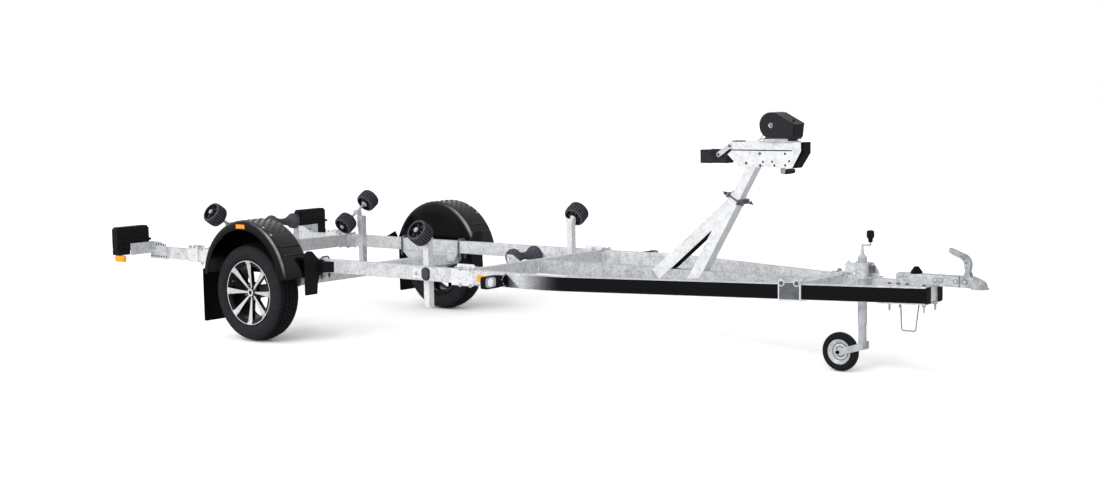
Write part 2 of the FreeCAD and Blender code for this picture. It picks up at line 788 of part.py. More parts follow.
def side_roller(centre):
    """Wide rubber roller, hollow at both ends round a central web and hub."""
    half = roller_width / 2
    bore = roller_pin + running_gap
    web = roller_web / 2
    inner = roller_radius - roller_rim
    profile = [(-half, bore), (-half, roller_hub_radius), (-web, roller_hub_radius + 3), (-web, inner - 4)]
    profile += [(-half, inner), (-half, roller_radius - 9), (-half + 9, roller_radius - 1.5), (0, roller_radius)]
    profile += [(half - 9, roller_radius - 1.5), (half, roller_radius - 9), (half, inner), (web, inner - 4)]
    profile += [(web, roller_hub_radius + 3), (half, roller_hub_radius), (half, bore)]
    return turned(profile, centre, tilt_axis())


def roller_post_centre(x):
    return V(x, rail_inner_y - post_size / 2, 0)


def post_tube(x, bottom, top):
    tube = square_tube(top - bottom, post_size, post_size, post_wall)
    tube.rotate(V(0, 0, 0), V(0, 1, 0), -90)
    tube.translate(roller_post_centre(x) + V(0, 0, bottom))
    return tube


def front_roller_centre(x, post_top):
    return V(x, front_roller_y, post_top + front_roller_rise)


def front_post(x, top):
    """Upright with a folded bracket on its top, whose two prongs hold the roller's pin."""
    tube = post_tube(x, front_post_bottom, top)
    axis = tilt_axis()
    centre = front_roller_centre(x, top)
    reach = roller_width / 2 + 4
    inner = rail_inner_y - post_size
    pieces = [tube, box(x - front_prong_half, x + front_prong_half, inner, rail_inner_y, top, top + front_prong)]
    start = centre - axis * (reach + 34)
    pieces.append(bar(start, centre + axis * reach, roller_pin))
    pieces.append(bar(centre - axis * (reach + 4), centre - axis * (reach - 1), roller_hub_radius - 4))
    outline = [(inner, top), (rail_inner_y, top), (rail_inner_y, start.z + 6), (inner + 14, start.z + 22)]
    outline.append((inner, start.z + 10))
    for side in (1, -1):
        face = x + side * (front_prong_half - front_prong / 2) - front_prong / 2
        pieces.append(plate([V(face, y, z) for y, z in outline], V(front_prong, 0, 0)))
    spindle_tie = V(x, inner + 14, start.z + 6)
    across = V(front_prong_half, 0, 0)
    pieces.append(bar(spindle_tie - across, spindle_tie + across, roller_pin))
    return fused(pieces)


def wobble_pivot():
    return V(rocker_x, rail_inner_y - post_size / 2, wobble_pivot_z)


def rear_post():
    """Upright with a plate on its rear face that carries the rocking arm's pivot pin."""
    tube = post_tube(rear_post_x, rear_post_bottom, rear_post_top)
    pivot = wobble_pivot()
    half = post_size / 2
    face = rear_post_x - half
    low = rear_post_top - 2 * post_size
    outline = [(-half, low), (half, low), (half, pivot.z - 14), (12, pivot.z + 17)]
    outline += [(-12, pivot.z + 17), (-half, pivot.z - 14)]
    carrier = plate([V(face, pivot.y + y, z) for y, z in outline], V(-rocker_plate, 0, 0))
    cap = box(face, face + post_size, pivot.y - half, pivot.y + half, rear_post_top, rear_post_top + post_wall)
    end = V(rocker_x - rocker_sleeve - 4, pivot.y, pivot.z)
    pin = bar(V(face, pivot.y, pivot.z), end, wobble_pin)
    head = bar(end, end - V(5, 0, 0), wobble_pin + 5)
    return fused([tube, cap, carrier, pin, head])


def wobble_roller_centres():
    """Inboard and outboard roller centres of the left rocking arm."""
    axis = tilt_axis()
    return [wobble_pivot() - axis * (wobble_spacing / 2), wobble_pivot() + axis * (wobble_spacing / 2)]


def wobble_arm():
    """Rod through both rollers with a pivot block in the middle."""
    axis = tilt_axis()
    pivot = wobble_pivot()
    reach = wobble_spacing / 2 + roller_width / 2 + 5
    rod = bar(pivot - axis * reach, pivot + axis * reach, roller_pin)
    sleeve = Part.makeCylinder(wobble_pin + 7, 2 * rocker_sleeve, pivot - V(rocker_sleeve, 0, 0), V(1, 0, 0))
    pieces = [rod, sleeve]
    for side in (1, -1):
        stop = wobble_spacing / 2 - roller_width / 2 - 4
        pieces.append(bar(pivot + axis * (side * stop), pivot + axis * (side * (stop + 3)), roller_hub_radius - 4))
    block = fused(pieces)
    bore = Part.makeCylinder(wobble_pin + running_gap, 100, pivot - V(50, 0, 0), V(1, 0, 0))
    return block.cut(bore)


def post_clamps():
    """Plates on the outside of the rails that hold the four roller posts."""
    plates = []
    middle = rail_bottom + rail_height / 2
    half = post_clamp_length / 2
    right_x = front_post_right_x + right_clamp_shift
    stations = [(right_x, -1), (front_post_left_x, 1), (rear_post_x, 1), (rear_post_x, -1)]
    for x, side in stations:
        shape = box(x - half, x + half, rail_outer_y, rail_outer_y + clamp_thickness,
                    middle - post_clamp_height / 2, middle + post_clamp_height / 2)
        shape = rounded(shape, 8, lambda e: runs_along(e, V(0, 1, 0)))
        plates.append(shape if side > 0 else mirrored(shape))
    return plates


def oval_cover():
    """Oval plastic cover on the right rail's outer face, beside the front post."""
    middle = rail_bottom + rail_height / 2
    half = cover_plate_height / 2
    shape = box(cover_plate_x - cover_plate_length / 2, cover_plate_x + cover_plate_length / 2,
                -rail_outer_y - cover_plate_thickness, -rail_outer_y, middle - half, middle + half)
    return rounded(shape, cover_plate_length / 2 - 1, lambda e: runs_along(e, V(0, 1, 0)))


# Winch post

def slanted(shape, foot, angle):
    """Turns a piece drawn along +X up by an angle and sets it on its foot."""
    shape.rotate(V(0, 0, 0), V(0, 1, 0), -angle)
    shape.translate(foot)
    return shape


def beam_room():
    """The space that the beam fills between the feet."""
    return box(brace_foot_x - 500, post_foot_x + 500, -beam_width / 2, beam_width / 2, 0, rail_top)


def winch_leg():
    """Leaning square leg whose side walls lap the beam."""
    foot_z = rail_top - foot_lap
    below = 2 * leg_depth
    tube = square_tube(post_length + below, leg_width, leg_depth, leg_wall)
    tube.translate(V(-below, 0, 0))
    tube = slanted(tube, V(post_foot_x, 0, foot_z), post_angle)
    tube = tube.cut(box(post_foot_x - 500, post_foot_x + 500, -leg_width, leg_width, 0, foot_z))
    return tube.cut(beam_room())


def winch_brace():
    """Channel, open underneath, from the beam up to the back of the leg."""
    half = leg_width / 2
    reach = 2 * post_length
    outer = box(0, reach, -half, half, -brace_depth, 0)
    inner = box(-1, reach + 1, leg_wall - half, half - leg_wall, -brace_depth - 1, -leg_wall)
    brace = slanted(outer.cut(inner), V(brace_foot_x, 0, rail_top - brace_sink), brace_angle)
    behind = box(-reach, 2 * reach, -leg_width, leg_width, leg_depth / 2, 2 * reach)
    behind = slanted(behind, V(post_foot_x, 0, rail_top - foot_lap), post_angle)
    return brace.common(behind).cut(beam_room())


def leg_point(distance):
    """Point on the leg's centre line."""
    run = V(cos(radians(post_angle)), 0, sin(radians(post_angle)))
    return V(post_foot_x, 0, rail_top - foot_lap) + run * distance


def winch_stem():
    """Inner tube that slides in the leg, cut level under the head tube."""
    room = 2 * leg_wall + 2 * stem_fit
    start = post_length - stem_overlap
    reach = (head_bottom + leg_depth - leg_point(start).z) / sin(radians(post_angle))
    tube = slanted(square_tube(reach, leg_width - room, leg_depth - room, stem_wall), leg_point(start), post_angle)
    return tube.cut(box(post_foot_x, post_foot_x + 1000, -leg_width, leg_width, head_bottom, head_bottom + 500))


def leg_clamp():
    """Two bars across the top of the leg, drawn together by a rod on each side."""
    width = leg_width + 4 * clamp_rod + 16
    half = leg_depth / 2
    low = -clamp_bar / 2
    rear = box(low, -low, -width / 2, width / 2, half, half + clamp_bar_depth)
    front = box(low, -low, -width / 2, width / 2, -half - clamp_bar_depth, -half)
    pieces = [rear, front]
    for side in (1, -1):
        y = side * (leg_width / 2 + clamp_rod + 2)
        pieces.append(bar(V(0, y, -half - clamp_bar_depth - 12), V(0, y, half + clamp_bar_depth + 12), clamp_rod))
    return slanted(fused(pieces), leg_point(post_length - clamp_below_top), post_angle)


def head_tube():
    """Level tube that carries the winch."""
    tube = square_tube(head_front_x - head_rear_x, leg_width, head_height, head_wall)
    tube.translate(V(head_rear_x, 0, head_bottom + head_height / 2))
    return tube


def head_plates():
    """Side plates under the head tube, one on each side of the stem."""
    low = head_bottom - head_drop
    middle = head_bottom - 28
    outline = [(head_rear_x + 30, head_bottom), (head_rear_x - 4, middle), (head_rear_x + head_rear_slope, low)]
    outline += [(head_front_x - head_front_slope, low), (head_front_x, head_bottom - 6), (head_front_x, head_bottom)]
    plates = []
    for side in (1, -1):
        y = side * (leg_width - leg_wall) / 2 - leg_wall / 2
        plates.append(plate([V(x, y, z) for x, z in outline], V(0, leg_wall, 0)))
    return side_by_side(plates)


def head_cap():
    """Plastic nose over the front of the head tube and down the slope of its plates."""
    thick = head_cap_thickness
    low = head_bottom - head_drop
    slope_x = head_front_x - head_front_slope
    outline = [(head_front_x, head_bottom + head_height), (head_front_x + thick, head_bottom + head_height)]
    outline += [(head_front_x + thick, head_bottom - 16), (slope_x + thick, low), (slope_x, low)]
    outline.append((head_front_x, head_bottom - 6))
    return plate([V(x, -leg_width / 2, z) for x, z in outline], V(0, leg_width, 0))


def bow_stop():
    """Rubber block with an upright notch for the bow and a tail between the links."""
    half = bow_stop_width / 2
    tail = leg_width / 2
    rear = bow_stop_x
    side = rear + bow_stop_side
    outline = [(rear, half), (rear + bow_stop_notch, 0), (rear, -half), (side, -half), (side + bow_stop_taper, -tail)]
    outline += [(rear + bow_stop_length, -tail), (rear + bow_stop_length, tail)]
    outline += [(side + bow_stop_taper, tail), (side, half)]
    bottom = head_bottom - bow_stop_drop
    block = plate([V(x, y, bottom) for x, y in outline], V(0, 0, bow_stop_height))
    return rounded(block, 6, lambda e: runs_along(e, V(0, 0, 1)) and e.CenterOfMass.x < rear + 5)


def bow_links():
    """Flat links that hang the bow stop on the head tube."""
    low = V(bow_link_low_x, leg_width / 2, bow_link_low_z)
    high = V(bow_link_high_x, leg_width / 2, bow_link_high_z)
    run = (high - low).normalize()
    across = V(-run.z, 0, run.x) * bow_link_half
    thick = V(0, bow_link_thickness, 0)
    flat = plate([low + across, high + across, high - across, low - across], thick)
    ends = [Part.makeCylinder(bow_link_half, bow_link_thickness, end, V(0, 1, 0)) for end in (low, high)]
    return both(fused([flat] + ends))


# Winch

def winch_frame():
    """Bent sheet: a base on the head tube and two uprights that carry the drum shaft."""
    base_z = head_bottom + head_height
    rear = drum_x - winch_base_rear
    front = drum_x + winch_base_front
    pieces = [box(rear, front, -winch_half - winch_plate, winch_half + winch_plate, base_z, base_z + 2 * winch_plate)]
    for side in (1, -1):
        y = side * (winch_half + winch_plate / 2) - winch_plate / 2
        outline = [(drum_x - 26, base_z), (front - 16, base_z), (front - 26, drum_z - 30), (drum_x + 24, drum_z + 26)]
        outline += [(drum_x - 24, drum_z + 26), (drum_x - 26, drum_z - 30)]
        pieces.append(plate([V(x, y, z) for x, z in outline], V(0, winch_plate, 0)))
    frame = fused(pieces)
    bore = Part.makeCylinder(shaft_radius + running_gap, 400, V(drum_x, -200, drum_z), V(0, 1, 0))
    return frame.cut(bore)


def cover_outline(grow, y):
    """Side view of the winch cover, drawn in by a wall."""
    r = cover_round - grow

    def at(angle):
        return V(drum_x + r * cos(radians(angle)), y, drum_z + r * sin(radians(angle)))

    nose = V(drum_x + cover_nose - grow, y, drum_z + 6)
    chin = V(drum_x + cover_nose - 8 - grow, y, drum_z - cover_round + 6 + grow)
    edges = [Part.Arc(at(242), at(160), at(66)).toShape(), Part.makeLine(at(66), nose)]
    edges += [Part.makeLine(nose, chin), Part.makeLine(chin, at(242))]
    return Part.Face(Part.Wire(edges))


def winch_cover():
    """Moulded cover over the drum, open below."""
    outer = cover_outline(0, -cover_half).extrude(V(0, 2 * cover_half, 0))
    inner = cover_outline(cover_wall, -cover_half + cover_wall).extrude(V(0, 2 * (cover_half - cover_wall), 0))
    shell = outer.cut(inner)
    inside = cover_half - cover_wall
    shell = shell.cut(box(drum_x - 30, drum_x + cover_nose - 24, -inside, inside, 0, drum_z - cover_round / 2))
    bore = Part.makeCylinder(shaft_radius + 4, 400, V(drum_x, -200, drum_z), V(0, 1, 0))
    return shell.cut(bore)


def winch_drum():
    """Strap drum on its shaft, with the crank plate at the left end."""
    start = -winch_half - winch_plate - 8
    profile = [(start, 0), (start, shaft_radius), (-drum_half, shaft_radius), (-drum_half, drum_flange_radius)]
    profile += [(-drum_half + drum_flange, drum_flange_radius), (-drum_half + drum_flange, drum_radius)]
    profile += [(drum_half - drum_flange, drum_radius), (drum_half - drum_flange, drum_flange_radius)]
    profile += [(drum_half, drum_flange_radius), (drum_half, shaft_radius), (crank_y, shaft_radius), (crank_y, 0)]
    return turned(profile, V(drum_x, 0, drum_z), V(0, 1, 0))


def winch_crank():
    """Flat crank arm hanging from the shaft, with its grip pin."""
    low = drum_z - crank_reach
    arm = box(drum_x - crank_width / 2, drum_x + crank_width / 2, crank_y, crank_y + crank_plate, low, drum_z)
    pieces = [arm, Part.makeCylinder(crank_width / 2, crank_plate, V(drum_x, crank_y, drum_z), V(0, 1, 0))]
    pieces.append(Part.makeCylinder(crank_width / 2, crank_plate, V(drum_x, crank_y, low), V(0, 1, 0)))
    pieces.append(Part.makeCylinder(6, crank_plate + grip_gap, V(drum_x, crank_y, low), V(0, 1, 0)))
    return fused(pieces)


def winch_grip():
    """Barrel grip on the crank."""
    start = crank_y + crank_plate + grip_gap
    r = grip_radius
    profile = [(start, 0), (start, r - 4), (start + 8, r), (start + grip_length * 0.6, r + 1)]
    profile += [(start + grip_length - 8, r - 1), (start + grip_length, r - 7), (start + grip_length, 0)]
    return turned(profile, V(drum_x, 0, drum_z - crank_reach), V(0, 1, 0))


# Coupling

def end_plates():
    """Plates above and below the rails' front ends, under the coupling."""
    rear, front = plate_rear_x, rail_front_x
    shapes = []
    for z in (rail_top, rail_bottom - plate_thickness):
        rear_y = rail_edge_y(rear, rail_width / 2) - rail_edge
        front_y = rail_edge_y(front, rail_width / 2) - rail_edge
        points = [V(rear, -rear_y, z), V(front, -front_y, z), V(front, front_y, z), V(rear, rear_y, z)]
        shapes.append(plate(points, V(0, 0, plate_thickness)))
    return side_by_side(shapes)


def coupling_body():
    """Pressed channel, open underneath, bolted over the rails' front ends."""
    base = rail_top + plate_thickness
    top = base + coupling_height
    half = coupling_width / 2
    wall = coupling_wall
    outer = box(coupling_rear_x, coupling_seam_x, -half, half, base, top)
    outer = rounded(outer, 9, lambda e: runs_along(e, V(1, 0, 0)) and e.CenterOfMass.z > top - 1)
    room = box(coupling_rear_x + wall, coupling_seam_x + 1, wall - half, half - wall, base - 1, top - wall)
    return outer.cut(room)


def coupling_head():
    """Cast head: a neck that narrows to the domed ball socket, with ears for the lever's pin."""
    base = rail_top + plate_thickness
    top = base + coupling_height
    half = coupling_width / 2
    slope_x = lever_pivot_x + 20
    side_view = [(coupling_seam_x, base), (ball_x, base), (ball_x, base + neck_front_height), (slope_x, top)]
    side_view.append((coupling_seam_x, top))
    neck = plate([V(x, -half, z) for x, z in side_view], V(0, 2 * half, 0))
    neck = rounded(neck, 9, lambda e: runs_along(e, V(1, 0, 0)) and e.CenterOfMass.z > top - 1)
    centre = V(ball_x, 0, base + ball_rise)
    drop = V(0, 0, socket_depth)
    dome = Part.makeSphere(head_outer_radius, centre)
    dome = dome.common(box(ball_x - 60, ball_x + 60, -60, 60, centre.z, centre.z + 60))
    skirt = Part.makeCylinder(head_outer_radius, socket_depth, centre - drop, V(0, 0, 1))
    rim = Part.makeCylinder(head_outer_radius + 8, 5, centre - drop, V(0, 0, 1))
    reach = lever_width / 2 + lever_side_gap + ear_thickness + 1
    pivot = V(lever_pivot_x, 0, top + lever_pivot_rise)
    pieces = [neck, dome, skirt, rim, bar(pivot - V(0, reach, 0), pivot + V(0, reach, 0), lever_pin)]
    for side in (1, -1):
        y = side * (lever_width + ear_thickness + 2 * lever_side_gap) / 2 - ear_thickness / 2
        outline = [(-20, top - 2), (20, top - 2), (10, pivot.z + 9), (-10, pivot.z + 9)]
        pieces.append(plate([V(lever_pivot_x + x, y, z) for x, z in outline], V(0, ear_thickness, 0)))
    body = fused(pieces)
    bore = ball_radius + ball_fit
    mouth = Part.makeCylinder(bore, socket_depth + 1, centre - drop - V(0, 0, 1), V(0, 0, 1))
    return body.cut(Part.makeSphere(bore, centre).fuse(mouth))


def coupling_lever():
    """Hand lever that stands up from its pin and then bends back."""
    half = lever_width / 2
    px = lever_pivot_x
    pz = rail_top + plate_thickness + coupling_height + lever_pivot_rise

    def at(x, z):
        return V(px + x, -half, pz + z)

    edges = [Part.Arc(at(-lever_eye, 0), at(0, -lever_eye), at(lever_eye, 0)).toShape()]
    edges.append(Part.makeLine(at(lever_eye, 0), at(17, 40)))
    edges.append(Part.Arc(at(17, 40), at(8, 76), at(-22, 96)).toShape())
    edges.append(Part.makeLine(at(-22, 96), at(-92, 123)))
    edges.append(Part.makeLine(at(-92, 123), at(-97, 99)))
    edges.append(Part.makeLine(at(-97, 99), at(-34, 72)))
    edges.append(Part.Arc(at(-34, 72), at(-20, 58), at(-17, 40)).toShape())
    edges.append(Part.makeLine(at(-17, 40), at(-lever_eye, 0)))
    lever = Part.Face(Part.Wire(edges)).extrude(V(0, lever_width, 0))
    return lever.cut(bar(V(px, -2 * half, pz), V(px, 2 * half, pz), lever_pin + running_gap))


def coupling_cap():
    """Plastic cap on top of the coupling."""
    base = rail_top + plate_thickness + coupling_height
    r = cap_radius
    profile = [(0, 0), (0, r), (cap_height * 0.25, r - 1), (cap_height * 0.75, r - 13), (cap_height, r - 19)]
    profile.append((cap_height, 0))
    return turned(profile, V(cap_x, 0, base), V(0, 0, 1))


def plug_holder():
    """Bent wire loop under the rails that parks the lighting plug."""
    top = rail_bottom - plate_thickness
    low = top - loop_drop
    rod = loop_rod
    bend = 12.0
    y = loop_y
    points = [V(loop_rear_x - 20, y, top - rod), V(loop_rear_x + 2, y, top - rod), V(loop_rear_x + 8, y, low)]
    points += [V(loop_front_x - 20, y, low), V(loop_front_x - 2, y, top - rod), V(loop_front_x + 20, y, top - rod)]
    wire = rounded_path(points, bend)
    profile = Part.Wire([Part.makeCircle(rod, points[0], points[1] - points[0])])
    return wire.makePipeShell([profile], True, True)


def rounded_path(points, radius):
    """Straight runs joined by tangent arcs."""
    edges = []
    previous = points[0]
    for a, b, c in zip(points, points[1:], points[2:]):
        before = (a - b).normalize()
        after = (c - b).normalize()
        turn = before.getAngle(after)
        cut = radius / tan(turn / 2)
        first = b + before * cut
        last = b + after * cut
        middle_direction = (before + after).normalize()
        middle = b + middle_direction * (radius / sin(turn / 2) - radius)
        edges += [Part.makeLine(previous, first), Part.Arc(first, middle, last).toShape()]
        previous = last
    edges.append(Part.makeLine(previous, points[-1]))
    return Part.Wire(edges)


# Jockey wheel

def jockey_bracket():
    """Clamp ring for the column, carried by a folded channel on the left rail."""
    ring_bottom = rail_top
    ring = Part.makeCylinder(jockey_outer_radius + 8, bracket_height, V(jockey_x, jockey_y, ring_bottom), V(0, 0, 1))
    rail_y = rail_edge_y(jockey_x, -rail_width / 2)
    rear = jockey_x - bracket_length / 2
    front = jockey_x + bracket_length / 2
    top = rail_top + bracket_height
    foot = box(rear, front, rail_y, rail_y + rail_width, rail_top, rail_top + bracket_wall)
    outline = [(rear, rail_top), (front, rail_top), (front, rail_top + bracket_front_height), (jockey_x + 34, top)]
    outline.append((rear, top))
    fold = plate([V(x, rail_y, z) for x, z in outline], V(0, bracket_wall, 0))
    web = box(jockey_x - 46, jockey_x + 46, jockey_y, rail_y, rail_top, rail_top + bracket_wall)
    top_web = box(jockey_x - 30, jockey_x + 30, jockey_y, rail_y + bracket_wall, top - bracket_wall, top)
    body = fused([ring, foot, fold, web, top_web])
    return body.cut(Part.makeCylinder(jockey_outer_radius + running_gap, 400, V(jockey_x, jockey_y, 300), V(0, 0, 1)))


def jockey_column():
    """Outer tube with a domed top and the crank shaft."""
    centre = V(jockey_x, jockey_y, 0)
    r = jockey_outer_radius
    bore = r - jockey_wall
    top = jockey_outer_top
    z = top + jockey_crank_rise
    profile = [(jockey_outer_bottom, bore), (jockey_outer_bottom, r), (top, r), (top + 10, r - 4), (top + 22, r - 14)]
    profile += [(top + 36, 9), (top + 44, 6), (z, 6), (z, 0), (top - 4, 0), (top - 4, bore)]
    tube = turned(profile, centre, V(0, 0, 1))
    arm_end = centre + V(jockey_crank_reach, 0, z)
    arm = bar(centre + V(0, 0, z), arm_end, 5)
    elbow = Part.makeSphere(6, centre + V(0, 0, z))
    rise = bar(arm_end, arm_end + V(0, 0, 16), 5)
    elbow_end = Part.makeSphere(5, arm_end)
    return fused([tube, elbow, arm, elbow_end, rise])


def jockey_grip():
    """Plastic knob on the jockey crank."""
    base = V(jockey_x + jockey_crank_reach, jockey_y, jockey_outer_top + jockey_crank_rise + 16)
    r = knob_radius
    top = knob_height
    profile = [(0, 0), (0, r - 9), (12, r - 10), (20, r - 3), (top - 22, r), (top - 8, r - 3), (top, r - 12)]
    profile.append((top, 0))
    return turned(profile, base, V(0, 0, 1))


def jockey_leg():
    """Inner tube that swivels in the column, with the fork welded on its foot."""
    centre = V(jockey_x, jockey_y, 0)
    r = jockey_outer_radius - jockey_wall - running_gap
    profile = [(jockey_inner_bottom, 0), (jockey_inner_bottom, r), (jockey_inner_top, r), (jockey_inner_top, r - 3)]
    profile += [(jockey_inner_bottom + 8, r - 3), (jockey_inner_bottom + 8, 0)]
    pieces = [turned(profile, centre, V(0, 0, 1))]
    axle = V(jockey_x - jockey_trail, jockey_y, jockey_wheel_radius)
    half = fork_height / 2
    foot = jockey_inner_bottom
    for side in (1, -1):
        y = jockey_y + side * (fork_half - fork_plate / 2) - fork_plate / 2
        outline = [(axle.x - 14, axle.z - 10), (axle.x + 6, axle.z - 16), (jockey_x + r, foot - 4)]
        outline += [(jockey_x + r, foot + fork_height), (axle.x + 10, axle.z + 18), (axle.x - 14, axle.z + 12)]
        pieces.append(plate([V(x, y, z) for x, z in outline], V(0, fork_plate, 0)))
    pieces.append(box(jockey_x - r + 2, jockey_x + r, jockey_y - fork_half, jockey_y + fork_half, foot - 4, foot))
    pieces.append(bar(axle - V(0, fork_half + 6, 0), axle + V(0, fork_half + 6, 0), jockey_pin))
    return fused(pieces)


def jockey_tyre():
    """Solid rubber tyre with a rounded tread."""
    centre = V(jockey_x - jockey_trail, jockey_y, jockey_wheel_radius)
    half = jockey_wheel_width / 2
    r = jockey_wheel_radius
    bead = jockey_rim_radius + rim_fit

    def at(y, radius):
        return centre + V(0, y, radius)

    edges = [Part.makeLine(at(-half + 6, bead), at(half - 6, bead))]
    edges.append(Part.Arc(at(half - 6, bead), at(half, (bead + r) / 2), at(half - 8, r - 5)).toShape())
    edges.append(Part.Arc(at(half - 8, r - 5), at(0, r), at(8 - half, r - 5)).toShape())
    edges.append(Part.Arc(at(8 - half, r - 5), at(-half, (bead + r) / 2), at(-half + 6, bead)).toShape())
    return Part.Face(Part.Wire(edges)).revolve(centre, V(0, 1, 0), 360)


def jockey_rim():
    """Pressed steel rim: a dished disc between two flared edges."""
    centre = V(jockey_x - jockey_trail, jockey_y, jockey_wheel_radius)
    half = jockey_wheel_width / 2 - 6
    r = jockey_rim_radius
    bore = jockey_pin + running_gap
    profile = [(-half - 4, bore), (-half - 4, 14), (-4, 18), (-4, r - 20), (-half, r - 4), (-half, r)]
    profile += [(half, r), (half, r - 4), (4, r - 20), (4, 18), (half + 4, 14), (half + 4, bore)]
    return turned(profile, centre, V(0, 1, 0))


# Lamps

def lamp_carrier():
    """Beam out of the rail's rear end, with a side plate and the cross arm that holds the lamp."""
    centre_y = rail_outer_y - rail_width / 2
    half = rail_width / 2 - rail_wall - lamp_beam_fit
    low = rail_bottom + rail_wall + lamp_beam_fit
    high = rail_top - rail_wall - lamp_beam_fit
    lamp_front = lamp_depth - rear_reach
    wall = lamp_beam_wall
    end = rail_rear_x + lamp_beam_lap
    inside = half - wall
    beam = box(lamp_front, end, centre_y - half, centre_y + half, low, high)
    beam = beam.cut(box(lamp_front - 1, end + 1, centre_y - inside, centre_y + inside, low + wall, high - wall))
    rear = lamp_front - lamp_depth / 2
    slope_x = lamp_plate_front_x - (lamp_plate_top - high) * 2
    outline = [(rear, rail_bottom), (lamp_plate_front_x, rail_bottom), (lamp_plate_front_x, high)]
    outline += [(slope_x, lamp_plate_top), (rear, lamp_plate_top)]
    side = plate([V(x, centre_y + half, z) for x, z in outline], V(0, lamp_plate, 0))
    arm = box(lamp_front, lamp_front + lamp_plate, centre_y + half, rail_outer_y + lamp_arm_reach,
              lamp_arm_bottom, lamp_arm_top)
    return fused([beam, side, arm])


def rear_lamp():
    """Lamp housing: a body with a ledge along its front and a foot under its outboard end."""
    rear = -rear_reach
    front = rear + lamp_depth
    ledge = front + lamp_ledge
    ledge_top = lamp_ledge_z + lamp_ledge
    outline = [(rear, lamp_bottom), (front, lamp_bottom), (front, lamp_ledge_z), (ledge, lamp_ledge_z)]
    outline += [(ledge, ledge_top), (front, ledge_top), (front, lamp_top), (rear, lamp_top)]
    body = plate([V(x, lamp_inner_y, z) for x, z in outline], V(0, lamp_length, 0))
    ends = (lamp_bottom, lamp_top)
    body = rounded(body, 14, lambda e: runs_along(e, V(1, 0, 0)) and round(e.CenterOfMass.z, 1) in ends)
    outer = lamp_inner_y + lamp_length
    foot = box(rear + 6, front - 12, outer - lamp_foot_length - 4, outer - 4, lamp_bottom - lamp_foot_drop,
               lamp_bottom + 16)
    return fused([body, foot])


def side_marker():
    """Amber marker under the foot of the rear lamp."""
    x = -rear_reach + lamp_depth / 2 - 9
    y = lamp_inner_y + lamp_length - 4 - lamp_marker_width
    top = lamp_bottom - lamp_foot_drop
    lens = box(x, x + lamp_marker_length, y, y + lamp_marker_width, top - lamp_marker_height, top)
    return rounded(lens, 5, lambda e: runs_along(e, V(0, 1, 0)))


def front_marker():
    """White position lamp on the end of a rubber arm, outboard of the rail."""
    inboard = rail_edge_y(marker_x, rail_width / 2)
    edge = inboard + marker_out
    neck = edge - marker_lamp
    middle = rail_bottom + rail_height / 2
    outline = [(inboard, marker_arm / 2), (neck, marker_height / 2), (edge, marker_height / 2)]
    outline += [(y, -rise) for y, rise in reversed(outline)]
    arm = plate([V(marker_x, y, middle + rise) for y, rise in outline], V(-marker_depth, 0, 0))
    return rounded(arm, marker_round, lambda e: runs_along(e, V(1, 0, 0)) and e.CenterOfMass.y > edge - 1)


def side_reflector():
    shape = box(reflector_x - reflector_length / 2, reflector_x + reflector_length / 2, rail_outer_y,
                rail_outer_y + reflector_thickness, rail_bottom + 22, rail_bottom + 22 + reflector_height)
    return rounded(shape, 4, lambda e: runs_along(e, V(0, 1, 0)))


def both(shape):
    return side_by_side([shape, mirrored(shape)])


